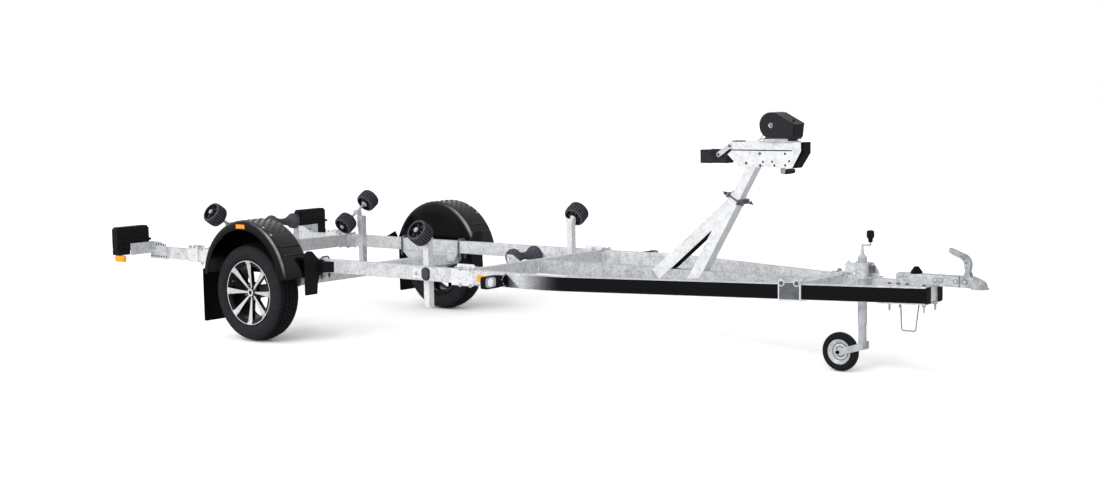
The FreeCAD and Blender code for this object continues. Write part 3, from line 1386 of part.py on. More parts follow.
def all_nodes():
    inboard, outboard = wobble_roller_centres()
    end_caps = [rail_plug(), mirrored(rail_plug()), head_cap(), coupling_cap(), oval_cover()]
    clamps = clamp_plates(rear_member_x) + clamp_plates(middle_member_x) + clamp_plates(front_member_x)
    left_post = front_post(front_post_left_x, front_post_left_top)
    right_post = mirrored(front_post(front_post_right_x, front_post_right_top))
    left_roller = front_roller_centre(front_post_left_x, front_post_left_top)
    right_roller = front_roller_centre(front_post_right_x, front_post_right_top)
    amber = [side_marker(), mirrored(side_marker()), side_reflector(), mirrored(side_reflector())]
    wraps = [middle_clamp(), mirrored(middle_clamp()), end_clamp(), mirrored(end_clamp())]
    stays = [fender_stay_front(), mirrored(fender_stay_front()), fender_stay_rear(), mirrored(fender_stay_rear())]
    return {
        "rail_left": rail(),
        "rail_right": mirrored(rail()),
        "end_caps": side_by_side(end_caps),
        "member_rear": cross_member(rear_member_x),
        "member_middle": cross_member(middle_member_x),
        "member_front": cross_member(front_member_x),
        "rail_clamps": side_by_side(clamps + post_clamps() + wraps),
        "centre_beam": centre_beam(),
        "axle_beam": axle_beam(),
        "swing_arms": both(swing_arm()),
        "hub_left": hub(),
        "hub_right": mirrored(hub()),
        "rim_left": wheel_rim(),
        "rim_right": mirrored(wheel_rim()),
        "tyre_left": tyre(),
        "tyre_right": mirrored(tyre()),
        "fender_left": fender(),
        "fender_right": mirrored(fender()),
        "mud_flaps": both(mud_flap()),
        "fender_stays": side_by_side(stays),
        "keel_brackets": side_by_side([keel_bracket_rear(), keel_bracket_middle()]),
        "keel_roller_rear": keel_roller(rear_keel_x, rear_keel_z),
        "keel_roller_middle": keel_roller(middle_keel_x, middle_keel_z),
        "posts_front": side_by_side([left_post, right_post]),
        "posts_rear": both(rear_post()),
        "roller_front_left": side_roller(left_roller),
        "roller_front_right": mirrored(side_roller(right_roller)),
        "rocker_left": wobble_arm(),
        "rocker_right": mirrored(wobble_arm()),
        "roller_rear_left_inner": side_roller(inboard),
        "roller_rear_left_outer": side_roller(outboard),
        "roller_rear_right_inner": mirrored(side_roller(inboard)),
        "roller_rear_right_outer": mirrored(side_roller(outboard)),
        "winch_leg": winch_leg(),
        "winch_brace": winch_brace(),
        "winch_stem": winch_stem(),
        "leg_clamp": leg_clamp(),
        "head_tube": head_tube(),
        "head_plates": head_plates(),
        "bow_stop": bow_stop(),
        "bow_links": bow_links(),
        "winch_frame": winch_frame(),
        "winch_cover": winch_cover(),
        "winch_drum": fused([winch_drum(), winch_crank()]),
        "winch_grip": winch_grip(),
        "end_plates": end_plates(),
        "coupling_body": coupling_body(),
        "coupling_head": coupling_head(),
        "coupling_lever": coupling_lever(),
        "plug_holder": plug_holder(),
        "jockey_bracket": jockey_bracket(),
        "jockey_column": jockey_column(),
        "jockey_grip": jockey_grip(),
        "jockey_leg": jockey_leg(),
        "jockey_rim": jockey_rim(),
        "jockey_tyre": jockey_tyre(),
        "lamp_carriers": both(lamp_carrier()),
        "rear_lamps": both(rear_lamp()),
        "marker_lamps": both(front_marker()),
        "reflectors": side_by_side(amber),
    }


def write_parts():
    os.makedirs("parts", exist_ok=True)
    for name, shape in all_nodes().items():
        placed = shape.copy()
        placed.translate(V(axle_x, 0, 0))
        placed.exportStep("parts/" + name + ".step")
        print(name, len(placed.Solids), placed.isValid(), round(placed.Volume / 1000))


write_parts()
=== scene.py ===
from math import atan2, cos, pi, radians, sin, sqrt

import bmesh
import bpy
from mathutils import Matrix, Vector


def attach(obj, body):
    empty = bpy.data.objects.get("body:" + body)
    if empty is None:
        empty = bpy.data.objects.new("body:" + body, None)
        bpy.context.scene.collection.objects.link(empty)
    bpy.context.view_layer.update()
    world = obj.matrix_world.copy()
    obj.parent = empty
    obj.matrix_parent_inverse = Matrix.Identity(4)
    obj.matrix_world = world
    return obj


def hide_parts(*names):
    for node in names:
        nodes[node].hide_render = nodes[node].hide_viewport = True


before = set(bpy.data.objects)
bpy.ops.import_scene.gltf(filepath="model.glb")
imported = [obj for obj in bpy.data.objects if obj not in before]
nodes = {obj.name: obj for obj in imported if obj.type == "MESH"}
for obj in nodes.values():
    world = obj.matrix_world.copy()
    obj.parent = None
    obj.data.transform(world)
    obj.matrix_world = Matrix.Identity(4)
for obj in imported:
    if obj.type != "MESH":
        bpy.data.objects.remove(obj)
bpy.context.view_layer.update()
print("frame loaded")


# Lengths below are in millimetres, x from the wheel axle, as on a drawing of the trailer
axleOffset = -1495                          # the axle's x in the part's frame
roadWheel = {"track": 840, "radius": 298}   # half the track, and the height of the wheel's centre


def place(x, y, z):
    return Vector(((x + axleOffset) / 1000, y / 1000, z / 1000))


def linearColour(hexCode):
    parts = [int(hexCode[k:k + 2], 16) / 255 for k in (1, 3, 5)]
    return [p / 12.92 if p <= 0.04045 else ((p + 0.055) / 1.055) ** 2.4 for p in parts] + [1]


# Material helpers

# A value that is a node or a socket becomes a link, and a colour ramp's stops are given as hex colours
def addNode(tree, kind, values=None):
    node = tree.nodes.new("ShaderNode" + kind)
    for key, value in (values or {}).items():
        if isinstance(value, bpy.types.Node):
            value = value.outputs[0]
        if isinstance(value, bpy.types.NodeSocket):
            tree.links.new(value, node.inputs[key])
        elif key == "stops":
            for element, (position, code) in zip(node.color_ramp.elements, (value[0], value[-1])):
                element.position, element.color = position, linearColour(code)
            for position, code in value[1:-1]:
                node.color_ramp.elements.new(position).color = linearColour(code)
        elif isinstance(key, str) and hasattr(node, key):
            setattr(node, key, value)
        else:
            node.inputs[key].default_value = value
    return node


def startMaterial(name):
    material = bpy.data.materials.new(name)
    material.use_nodes = True
    material.node_tree.nodes.clear()
    return material, material.node_tree


def finishMaterial(material, values):
    shader = addNode(material.node_tree, "BsdfPrincipled", values)
    addNode(material.node_tree, "OutputMaterial", {"Surface": shader})
    return material


# Hot-dip galvanised steel, dipped after welding: an even satin zinc with faint crystals and a cloudy bloom
galvanising = {
    "flake": 10,            # mm across one zinc crystal
    "bloom": 50,            # mm across a cloudy patch
    "worn": ("#BABDC1", "#D8DADD", "#ECEDEF"),
    "fresh": ("#D6D8DB", "#ECEDEF", "#F6F7F8"),
    "aged": ("#9FA2A7", "#BDC0C4", "#D6D8DB"),
    "shadeStops": (0.4, 0.63, 0.84),
}

# A black film on the outer face of each rail: pale zinc fades to a matt dark band towards the coupling
railFilmAndLampShadow = {
    "colour": "#08090C",
    "start": 1900,          # it comes in here, past the pale bend
    "full": 2175,
    "lampShadowStart": 1800,     # and a slanted wedge of painted shadow from the marker lamp shows beside it
    "lampShadowEnd": 1910,
    "lampShadowZ": 416,          # the height at which the shadow's wedge ends there
    "lampShadowSlant": 1.275,
}


def filmAndLampShadowMask(tree, coords):
    spot = addNode(tree, "SeparateXYZ", {"Vector": coords})
    normal = addNode(tree, "NewGeometry").outputs["Normal"]
    facing = addNode(tree, "SeparateXYZ", {"Vector": normal})
    side = addNode(tree, "Math", {"operation": "SIGN", 0: spot.outputs["Y"]})
    outward = addNode(tree, "Math", {"operation": "MULTIPLY", 0: side, 1: facing.outputs["Y"]})
    onFace = addNode(tree, "MapRange", {"Value": outward, "From Min": 0.86, "From Max": 0.9})
    # The wedge is the marker lamp's shadow painted dark on the rail's face, fading towards the front
    slant = addNode(tree, "Math", {"operation": "MULTIPLY_ADD", 0: spot.outputs["Z"],
                                   1: railFilmAndLampShadow["lampShadowSlant"], 2: spot.outputs["X"]})
    edge = place(railFilmAndLampShadow["lampShadowEnd"], 0, 0).x + railFilmAndLampShadow["lampShadowSlant"] * railFilmAndLampShadow["lampShadowZ"] / 1000
    lampShadow = addNode(tree, "MapRange", {"Value": slant, "From Min": edge - 0.008, "From Max": edge + 0.004,
                                       "To Min": 1, "To Max": 0})
    rear, front = railFilmAndLampShadow["lampShadowStart"], railFilmAndLampShadow["lampShadowEnd"]
    for start, end, low, high in ((rear, rear + 6, 0, 1), (rear + 20, front, 1, 0.5)):
        part = addNode(tree, "MapRange", {"Value": spot.outputs["X"], "From Min": place(start, 0, 0).x,
                                          "From Max": place(end, 0, 0).x, "To Min": low, "To Max": high})
        lampShadow = addNode(tree, "Math", {"operation": "MULTIPLY", 0: lampShadow, 1: part})
    start, full = (place(railFilmAndLampShadow[key], 0, 0).x for key in ("start", "full"))
    bare = addNode(tree, "MapRange", {"Value": spot.outputs["X"], "From Min": start, "From Max": full,
                                      "To Min": 1, "To Max": 0})
    bare = addNode(tree, "Math", {"operation": "MULTIPLY", 0: bare, 1: bare})     # a soft start and end
    along = addNode(tree, "Math", {"operation": "SUBTRACT", 0: 1, 1: bare})
    along = addNode(tree, "Math", {"operation": "MAXIMUM", 0: along, 1: lampShadow})
    return addNode(tree, "Math", {"operation": "MULTIPLY", 0: onFace, 1: along})


def galvanisedSteel(name, shades, withFilmAndLampShadow=False):
    material, tree = startMaterial(name)
    coords = addNode(tree, "TexCoord").outputs["Object"]
    flakes = addNode(tree, "TexVoronoi", {"Scale": 1000 / galvanising["flake"], "Vector": coords})
    grey = addNode(tree, "SeparateColor", {"Color": flakes.outputs["Color"]})
    bloom = addNode(tree, "TexNoise", {"Scale": 1000 / galvanising["bloom"], "Detail": 8, "Roughness": 0.7,
                                       "Vector": coords})
    blend = addNode(tree, "Math", {"operation": "MULTIPLY_ADD", 0: grey, 1: 0.28, 2: bloom})
    zinc = addNode(tree, "ValToRGB", {"Fac": blend, "stops": list(zip(galvanising["shadeStops"], shades))})
    rough = addNode(tree, "MapRange", {"Value": grey, "To Min": 0.42, "To Max": 0.56})
    bump = addNode(tree, "Bump", {"Strength": 0.05, "Distance": 0.0003, "Height": grey})
    values = {"Metallic": 0.15, "Base Color": zinc, "Roughness": rough, "Normal": bump}
    if withFilmAndLampShadow:
        mask = filmAndLampShadowMask(tree, coords)
        tone = addNode(tree, "Mix", {"data_type": "RGBA", 0: mask, 6: zinc,
                                     7: linearColour(railFilmAndLampShadow["colour"])})
        values["Base Color"] = tone.outputs[2]
        values["Roughness"] = addNode(tree, "Mix", {0: mask, 2: rough, 3: 0.5})
        values["Metallic"] = addNode(tree, "MapRange", {"Value": mask, "To Min": 0.15, "To Max": 0})
        shine = addNode(tree, "MapRange", {"Value": mask, "To Min": 0.5, "To Max": 0.12})
        values["Specular IOR Level"] = shine
    return finishMaterial(material, values)


# Bright zinc plating on pressed and turned small parts: even, a little bluish, with soft streaks
plating = {
    "dark": "#AEB2B8", "bright": "#CFD3D8", "gloss": (0.25, 0.42),
    "streaks": 24,          # in a metre, 42 mm each
}


def zincPlate(name, dark=plating["dark"], bright=plating["bright"], gloss=plating["gloss"]):
    material, tree = startMaterial(name)
    coords = addNode(tree, "TexCoord").outputs["Object"]
    cloud = addNode(tree, "TexNoise", {"Scale": plating["streaks"], "Detail": 3, "Vector": coords})
    return finishMaterial(material, {
        "Metallic": 0.25,
        "Base Color": addNode(tree, "ValToRGB", {"Fac": cloud, "stops": [(0.3, dark), (0.65, bright)]}),
        "Roughness": addNode(tree, "MapRange", {"Value": cloud, "From Min": 0.3, "From Max": 0.7,
                                                "To Min": gloss[0], "To Max": gloss[1]}),
        "Normal": addNode(tree, "Bump", {"Strength": 0.08, "Distance": 0.0003, "Height": cloud}),
    })


# Cast and galvanised steel: the sand's grain shows as a fine pebble under the zinc
casting = {
    "dark": "#8C9095", "pale": "#C9CCD0",
    "grains": 380,          # in a metre, 2.6 mm each, coarser than the real 0.5 mm sand so that they show
    "patches": 22,          # in a metre, 45 mm each
}


def castSteel(name):
    material, tree = startMaterial(name)
    coords = addNode(tree, "TexCoord").outputs["Object"]
    grain = addNode(tree, "TexNoise", {"Scale": casting["grains"], "Detail": 6, "Roughness": 0.7,
                                       "Vector": coords})
    patch = addNode(tree, "TexNoise", {"Scale": casting["patches"], "Detail": 3, "Vector": coords})
    stops = [(0.34, casting["dark"]), (0.66, casting["pale"])]
    return finishMaterial(material, {
        "Metallic": 0.2,
        "Base Color": addNode(tree, "ValToRGB", {"Fac": patch, "stops": stops}),
        "Roughness": addNode(tree, "MapRange", {"Value": patch, "To Min": 0.38, "To Max": 0.55}),
        "Normal": addNode(tree, "Bump", {"Strength": 0.25, "Distance": 0.0006, "Height": grain}),
    })


# Cast alloy wheel: gloss black paint, and the thin edge of the outer lip turned bright
wheelFinish = {
    "paint": "#050507",
    "cut": "#F1F2F4",
    "groove": "#CDCFD3",
    "lipFrom": 190.5,       # mm from the wheel's centre
    "ring": 2.5,            # mm between turning rings, drawn coarser than the real 0.3 mm so that it shows
}


def wheelDistance(tree, coords):
    hub = place(0, 0, roadWheel["radius"])
    local = addNode(tree, "VectorMath", {"operation": "SUBTRACT", 0: coords, 1: (hub.x, 0, hub.z)})
    flat = addNode(tree, "VectorMath", {"operation": "MULTIPLY", 0: local, 1: (1, 0, 1)})
    return addNode(tree, "VectorMath", {"operation": "LENGTH", 0: flat}).outputs["Value"]


def paintedAlloy(name, side):
    material, tree = startMaterial(name)
    coords = addNode(tree, "TexCoord").outputs["Object"]
    normal = addNode(tree, "NewGeometry").outputs["Normal"]
    facing = addNode(tree, "SeparateXYZ", {"Vector": normal})
    outward = addNode(tree, "MapRange", {"Value": facing.outputs["Y"], "From Min": side * 0.6,
                                         "From Max": side * 0.7})
    edge = wheelFinish["lipFrom"] / 1000
    lip = addNode(tree, "MapRange", {"Value": wheelDistance(tree, coords), "From Min": edge - 0.0003,
                                     "From Max": edge + 0.0003})
    mask = addNode(tree, "Math", {"operation": "MULTIPLY", 0: outward, 1: lip})
    tone = addNode(tree, "Mix", {"data_type": "RGBA", 0: mask, 6: linearColour(wheelFinish["paint"]),
                                 7: linearColour(wheelFinish["cut"])})
    metal = addNode(tree, "MapRange", {"Value": mask, "To Max": 0.5})
    return finishMaterial(material, {"Base Color": tone.outputs[2], "Metallic": metal,
                                     "Specular IOR Level": 0.2, "Roughness": 0.2})


# The spokes' faces are cut on a lathe after painting: bright bare alloy with fine rings under clear lacquer
def cutAlloy(name):
    material, tree = startMaterial(name)
    coords = addNode(tree, "TexCoord").outputs["Object"]
    turns = addNode(tree, "Math", {"operation": "MULTIPLY", 0: wheelDistance(tree, coords),
                                   1: 1000 * 2 * pi / wheelFinish["ring"]})
    wave = addNode(tree, "Math", {"operation": "SINE", 0: turns})
    level = addNode(tree, "MapRange", {"Value": wave, "From Min": -1})
    stops = [(0, wheelFinish["groove"]), (1, wheelFinish["cut"])]
    shade = addNode(tree, "ValToRGB", {"Fac": level, "stops": stops})
    return finishMaterial(material, {"Base Color": shade, "Metallic": 0.4, "Roughness": 0.28,
                                     "Coat Weight": 0.3})


# Road tyre rubber: matt, a dusty bloom on the sidewall, the tread darker than the wall
tyreFinish = {
    "tread": "#0D0D10", "wall": "#1B1C1F", "dusty": "#2B2C30",
    "treadFrom": (279, 287),    # mm from the wheel's centre, where the wall's tone turns to the tread's
    "patches": 28,              # of dust in a metre, 36 mm each
    "grains": 900,              # of the rubber in a metre, 1.1 mm each, coarser than real so that they show
}


def tyreRubber(name):
    material, tree = startMaterial(name)
    coords = addNode(tree, "TexCoord").outputs["Object"]
    dust = addNode(tree, "TexNoise", {"Scale": tyreFinish["patches"], "Detail": 6, "Roughness": 0.65,
                                      "Vector": coords})
    fine = addNode(tree, "TexNoise", {"Scale": tyreFinish["grains"], "Detail": 2, "Vector": coords})
    stops = [(0.3, tyreFinish["wall"]), (0.7, tyreFinish["dusty"])]
    wall = addNode(tree, "ValToRGB", {"Fac": dust, "stops": stops})
    low, high = tyreFinish["treadFrom"]
    onTread = addNode(tree, "MapRange", {"Value": wheelDistance(tree, coords), "From Min": low / 1000,
                                         "From Max": high / 1000})
    shade = addNode(tree, "Mix", {"data_type": "RGBA", 0: onTread, 6: wall,
                                  7: linearColour(tyreFinish["tread"])})
    return finishMaterial(material, {
        "Specular IOR Level": 0.18,
        "Base Color": shade.outputs[2],
        "Roughness": addNode(tree, "MapRange", {"Value": dust, "To Min": 0.62, "To Max": 0.8}),
        "Normal": addNode(tree, "Bump", {"Strength": 0.15, "Distance": 0.0003, "Height": fine}),
    })


# Moulded rubber of the boat rollers and stops: mid-grey, chalky from handling
moulding = {
    "chalk": 55,            # patches in a metre, 18 mm each
    "grains": 700,          # in a metre, 1.4 mm each, coarser than real so that they show
}


def mouldedRubber(name, dark, pale):
    material, tree = startMaterial(name)
    coords = addNode(tree, "TexCoord").outputs["Object"]
    chalk = addNode(tree, "TexNoise", {"Scale": moulding["chalk"], "Detail": 5, "Roughness": 0.6,
                                       "Vector": coords})
    fine = addNode(tree, "TexNoise", {"Scale": moulding["grains"], "Detail": 2, "Vector": coords})
    return finishMaterial(material, {
        "Specular IOR Level": 0.15,
        "Base Color": addNode(tree, "ValToRGB", {"Fac": chalk, "stops": [(0.3, dark), (0.72, pale)]}),
        "Roughness": addNode(tree, "MapRange", {"Value": chalk, "To Min": 0.7, "To Max": 0.88}),
        "Normal": addNode(tree, "Bump", {"Strength": 0.2, "Distance": 0.0004, "Height": fine}),
    })


# Injection-moulded black polypropylene: a fine leather grain where matt, a faint ripple where glossy
injection = {
    "cells": 650,           # of the leather grain in a metre, 1.5 mm each
    "swells": 14,           # ripples in a metre, 71 mm each
}


def mouldedPlastic(name, colour, rough, grain=0.25, shine=0.12):
    material, tree = startMaterial(name)
    coords = addNode(tree, "TexCoord").outputs["Object"]
    cells = addNode(tree, "TexVoronoi", {"Scale": injection["cells"], "Vector": coords})
    swell = addNode(tree, "TexNoise", {"Scale": injection["swells"], "Detail": 3, "Vector": coords})
    return finishMaterial(material, {
        "Specular IOR Level": shine,
        "Base Color": linearColour(colour),
        "Roughness": addNode(tree, "MapRange", {"Value": swell, "From Min": 0.3, "From Max": 0.7,
                                                "To Min": rough - 0.05, "To Max": rough + 0.07}),
        "Normal": addNode(tree, "Bump", {"Strength": grain, "Distance": 0.0004, "Height": cells}),
    })


# The fenders' glossy black polypropylene, with a painted highlight along the round shoulders: a long soft
# pale streak that follows the edge
shoulderHighlight = {
    "black": "#050506", "pale": "#A6A8AD",
    "patches": 9,           # in a metre, 111 mm each
    "leaning": (0.3, 0.62, 0.7, 0.94),      # how far a face leans outward as the painted streak comes in and fades
}


def paintedShoulderHighlight(name):
    material, tree = startMaterial(name)
    normal = addNode(tree, "NewGeometry").outputs["Normal"]
    facing = addNode(tree, "SeparateXYZ", {"Vector": normal})
    coords = addNode(tree, "TexCoord").outputs["Object"]
    patch = addNode(tree, "TexNoise", {"Scale": shoulderHighlight["patches"], "Detail": 2, "Vector": coords})
    sideways = addNode(tree, "Math", {"operation": "ABSOLUTE", 0: facing.outputs["Y"]})
    mask = addNode(tree, "MapRange", {"Value": patch, "From Min": 0.35, "From Max": 0.6, "To Min": 0.35})
    ahead, up = facing.outputs["X"], facing.outputs["Z"]
    rise, full, fall, end = shoulderHighlight["leaning"]
    limits = ((sideways, rise, full, 0), (sideways, fall, end, 1), (ahead, 0.12, 0.45, 0), (up, 0.08, 0.3, 0))
    for source, start, stop, low in limits:
        part = addNode(tree, "MapRange", {"Value": source, "From Min": start, "From Max": stop, "To Min": low,
                                          "To Max": 1 - low})
        mask = addNode(tree, "Math", {"operation": "MULTIPLY", 0: mask, 1: part})
    # the pale streak mixed into the black is painted highlight where the shoulder faces forward and up
    tone = addNode(tree, "Mix", {"data_type": "RGBA", 0: mask, 6: linearColour(shoulderHighlight["black"]),
                                 7: linearColour(shoulderHighlight["pale"])})
    return finishMaterial(material, {"Base Color": tone.outputs[2], "Specular IOR Level": 0.2,
                                     "Roughness": 0.2})


# Moulded polycarbonate lens: clear colour over small prisms, with a painted glow in that colour; no lamp is
# lit
lensPrism = 4               # mm across one prism


def lensPlasticWithPaintedGlow(name, colour, glow):
    material, tree = startMaterial(name)
    coords = addNode(tree, "TexCoord").outputs["Object"]
    prisms = addNode(tree, "TexChecker", {"Scale": 1000 / lensPrism, "Vector": coords}).outputs["Fac"]
    bump = addNode(tree, "Bump", {"Strength": 0.3, "Distance": 0.0008, "Height": prisms})
    return finishMaterial(material, {
        "Base Color": linearColour(colour), "Roughness": 0.2, "IOR": 1.58, "Coat Weight": 0.15,
        "Emission Color": linearColour(colour), "Emission Strength": glow, "Normal": bump,
    })


steel = galvanisedSteel("galvanisedSteel", galvanising["worn"])
freshSteel = galvanisedSteel("freshGalvanisedSteel", galvanising["fresh"])
agedSteel = galvanisedSteel("agedGalvanisedSteel", galvanising["aged"])
railSteel = galvanisedSteel("galvanisedRailWithFilmAndLampShadow", galvanising["worn"], True)
plated = zincPlate("zincPlatedSteel")
# A dark zinc plate for the hubs and many bolts; it also stands as painted shade on the jockey rim's rings and
# hub, the front clamp nuts and the coupling lever's holes
darkPlatedAndShade = zincPlate("weatheredZincPlateAndPaintedShade", "#3E4146", "#74787E", (0.35, 0.5))
rimSteel = zincPlate("brightZincRim", "#C9CDD2", "#E6E8EB", (0.2, 0.3))
dullSteel = zincPlate("dullGalvanisedPlate", "#54575C", "#6E7176", (0.5, 0.62))
wireSteel = zincPlate("zincPlatedWire", "#7E8187", "#A2A5AB", (0.35, 0.5))
cast = castSteel("castGalvanisedSteel")
tyreBlack = tyreRubber("roadTyreRubber")
rollerGrey = mouldedRubber("rollerRubber", "#46464C", "#626269")
rollerShadeInGrooves = mouldedRubber("rollerRubberWithPaintedShade", "#17171A", "#222226")
# A darker copy of the roller rubber, used as painted shade in the rollers' notches and recessed ends
stopRubber = mouldedRubber("bowStopRubber", "#242428", "#38383D")
glossBlack = mouldedPlastic("glossyPolypropylene", "#060608", 0.2, 0.03, 0.2)
fenderBlackWithPaintedHighlight = paintedShoulderHighlight("fenderPolypropyleneWithPaintedHighlight")
# The fender's ribs and tread studs are a paler black than the shell, as painted highlight on them
ribBlackWithPaintedHighlight = mouldedPlastic("fenderRibPolypropyleneWithPaintedHighlight", "#242529", 0.25, 0.03, 0.25)
mattBlack = mouldedPlastic("grainedPolypropylene", "#121215", 0.5)
coverBlack = mouldedPlastic("winchCoverPlastic", "#2B2B30", 0.45)
coverGrey = mouldedPlastic("ovalCoverPlastic", "#4A4B50", 0.5)
# The glow of these lenses and reflectors is painted light
amber = lensPlasticWithPaintedGlow("amberPolycarbonate", "#FF9C00", 0.25)
red = lensPlasticWithPaintedGlow("redPolycarbonate", "#B01015", 0.02)
clear = lensPlasticWithPaintedGlow("clearPolycarbonate", "#F2F3F5", 0.3)
lensGrey = lensPlasticWithPaintedGlow("clearPolycarbonateOverReflector", "#B0B2B8", 0.12)
boreShadow = mouldedPlastic("unlitBore", "#040405", 0.8, 0, 0.05)
wheelRubber = mouldedPlastic("jockeyTyreRubber", "#161618", 0.55, 0.15, 0.15)
flapRubber = mouldedPlastic("mudFlapRubber", "#08080A", 0.55, 0.1, 0.08)
brightAlloy = cutAlloy("cutAlloyFace")

nodeFinish = {
    "rail_left": railSteel, "rail_right": railSteel, "end_caps": flapRubber, "rail_clamps": freshSteel,
    "member_rear": steel, "member_middle": steel, "member_front": steel, "centre_beam": agedSteel,
    "axle_beam": steel, "swing_arms": cast, "hub_left": darkPlatedAndShade, "hub_right": darkPlatedAndShade,
    "rim_left": paintedAlloy("paintedWheelLeft", 1), "rim_right": paintedAlloy("paintedWheelRight", -1),
    "fender_left": glossBlack, "fender_right": glossBlack, "mud_flaps": flapRubber, "fender_stays": mattBlack,
    "keel_brackets": steel, "keel_roller_rear": rollerGrey, "keel_roller_middle": rollerGrey,
    "posts_front": freshSteel, "posts_rear": steel, "rocker_left": plated, "rocker_right": plated,
    "winch_leg": freshSteel, "winch_brace": freshSteel, "winch_stem": freshSteel, "leg_clamp": darkPlatedAndShade,
    "head_tube": freshSteel, "head_plates": freshSteel, "bow_stop": stopRubber, "bow_links": plated,
    "winch_frame": plated, "winch_cover": coverBlack, "winch_drum": plated, "winch_grip": mattBlack,
    "end_plates": steel, "coupling_body": agedSteel, "coupling_head": cast, "coupling_lever": cast,
    "plug_holder": wireSteel, "jockey_bracket": steel, "jockey_column": plated, "jockey_grip": mattBlack,
    "jockey_leg": plated, "jockey_rim": rimSteel, "jockey_tyre": wheelRubber,
    "lamp_carriers": steel, "rear_lamps": mattBlack, "marker_lamps": mattBlack, "reflectors": amber,
}
for nodeName, finish in nodeFinish.items():
    mesh = nodes[nodeName].data
    mesh.materials.clear()
    mesh.materials.append(finish)
print("materials on", len(nodeFinish), "solids")


# Mesh helpers, all in the drawing's millimetres

def lathe(bm, profile, centre, axis, steps=48, spread=None, slot=0, sweep=2 * pi):
    axis = Vector(axis).normalized()
    radial = axis.orthogonal().normalized() if spread is None else Vector(spread).normalized()
    other = axis.cross(radial)
    whole = abs(sweep - 2 * pi) < 1e-6
    count = steps if whole else steps + 1
    rings = []
    for k in range(count):
        angle = sweep * k / steps
        out = radial * cos(angle) + other * sin(angle)
        rings.append([bm.verts.new(place(*(Vector(centre) + axis * d + out * r))) for d, r in profile])
    for k in range(steps):
        one, two = rings[k], rings[(k + 1) % count]
        for a in range(len(profile) - 1):
            if profile[a][1] or profile[a + 1][1]:
                bm.faces.new([one[a], one[a + 1], two[a + 1], two[a]]).material_index = slot


def prism(bm, outline, push, bevel=0.0, slot=0):
    part = bmesh.new()
    push = Vector(push)
    low = [part.verts.new(place(*p)) for p in outline]
    high = [part.verts.new(place(*(Vector(p) + push))) for p in outline]
    part.faces.new(low)
    part.faces.new(list(reversed(high)))
    for a in range(len(low)):
        b = (a + 1) % len(low)
        part.faces.new([low[a], high[a], high[b], low[b]])
    bmesh.ops.recalc_face_normals(part, faces=part.faces)
    if bevel:
        bmesh.ops.bevel(part, geom=list(part.edges), offset=bevel / 1000, segments=2 if bevel < 5 else 5,
                        affect="EDGES", clamp_overlap=True)
    for face in part.faces:
        face.material_index = slot
    scratch = bpy.data.meshes.new("scratch")
    part.to_mesh(scratch)
    part.free()
    bm.from_mesh(scratch)
    bpy.data.meshes.remove(scratch)


def block(bm, x, y, z, bevel=1.5, slot=0):
    outline = [(x[0], y[0], z[0]), (x[1], y[0], z[0]), (x[1], y[1], z[0]), (x[0], y[1], z[0])]
    prism(bm, outline, (0, 0, z[1] - z[0]), bevel, slot)


# Hexagon head or nut on a washer, with the thread of a stud beyond it where one shows
def hexBolt(bm, spot, axis, across=19, height=8, slot=0, stud=0):
    r = across / 2 / cos(pi / 6)
    washer = across * 0.72
    top = height + 2
    lathe(bm, [(0, 0), (0, washer), (2, washer), (2, 0)], spot, axis, 20, slot=slot)
    lathe(bm, [(2, r), (top - 1.5, r), (top, r * 0.84), (top, 0)], spot, axis, 6, slot=slot)
    if stud:
        rows = [(top, across * 0.26)]
        for k in range(int(stud // 3)):
            rows += [(top + 1 + k * 3, across * 0.29), (top + 2.5 + k * 3, across * 0.25)]
        rows.append((top + 1 + stud, 0))
        lathe(bm, rows, spot, axis, 12, slot=slot)


def disc(bm, spot, axis, radius, lift=0.4, slot=0, steps=16):
    lathe(bm, [(0, radius), (lift, radius * 0.96), (lift, 0)], spot, axis, steps, slot=slot)


def rod(bm, points, radius, steps=10):
    points = [Vector(p) for p in points]
    last = len(points) - 1
    turns = [2 * pi * a / steps for a in range(steps)]
    rings = []
    side = None
    for k, p in enumerate(points):
        run = (points[min(k + 1, last)] - points[max(k - 1, 0)]).normalized()
        side = run.orthogonal().normalized() if side is None else (side - run * side.dot(run)).normalized()
        up = run.cross(side)
        rings.append([bm.verts.new(place(*(p + (side * cos(t) + up * sin(t)) * radius))) for t in turns])
    for one, two in zip(rings, rings[1:]):
        for a in range(steps):
            b = (a + 1) % steps
            bm.faces.new([one[a], one[b], two[b], two[a]])
    bm.faces.new(list(reversed(rings[0])))
    bm.faces.new(rings[-1])


# Points on the circle through three points, from the first to the last
def arcThrough(first, middle, last, count):
    (ax, ay), (bx, by), (cx, cy) = first, middle, last
    d = 2 * (ax * (by - cy) + bx * (cy - ay) + cx * (ay - by))
    a2, b2, c2 = ax * ax + ay * ay, bx * bx + by * by, cx * cx + cy * cy
    ux = (a2 * (by - cy) + b2 * (cy - ay) + c2 * (ay - by)) / d
    uy = (a2 * (cx - bx) + b2 * (ax - cx) + c2 * (bx - ax)) / d
    start, end = atan2(ay - uy, ax - ux), atan2(cy - uy, cx - ux)
    r = sqrt((ax - ux) ** 2 + (ay - uy) ** 2)
    angles = [start + (end - start) * k / count for k in range(count + 1)]
    return [(ux + r * cos(angle), uy + r * sin(angle)) for angle in angles]


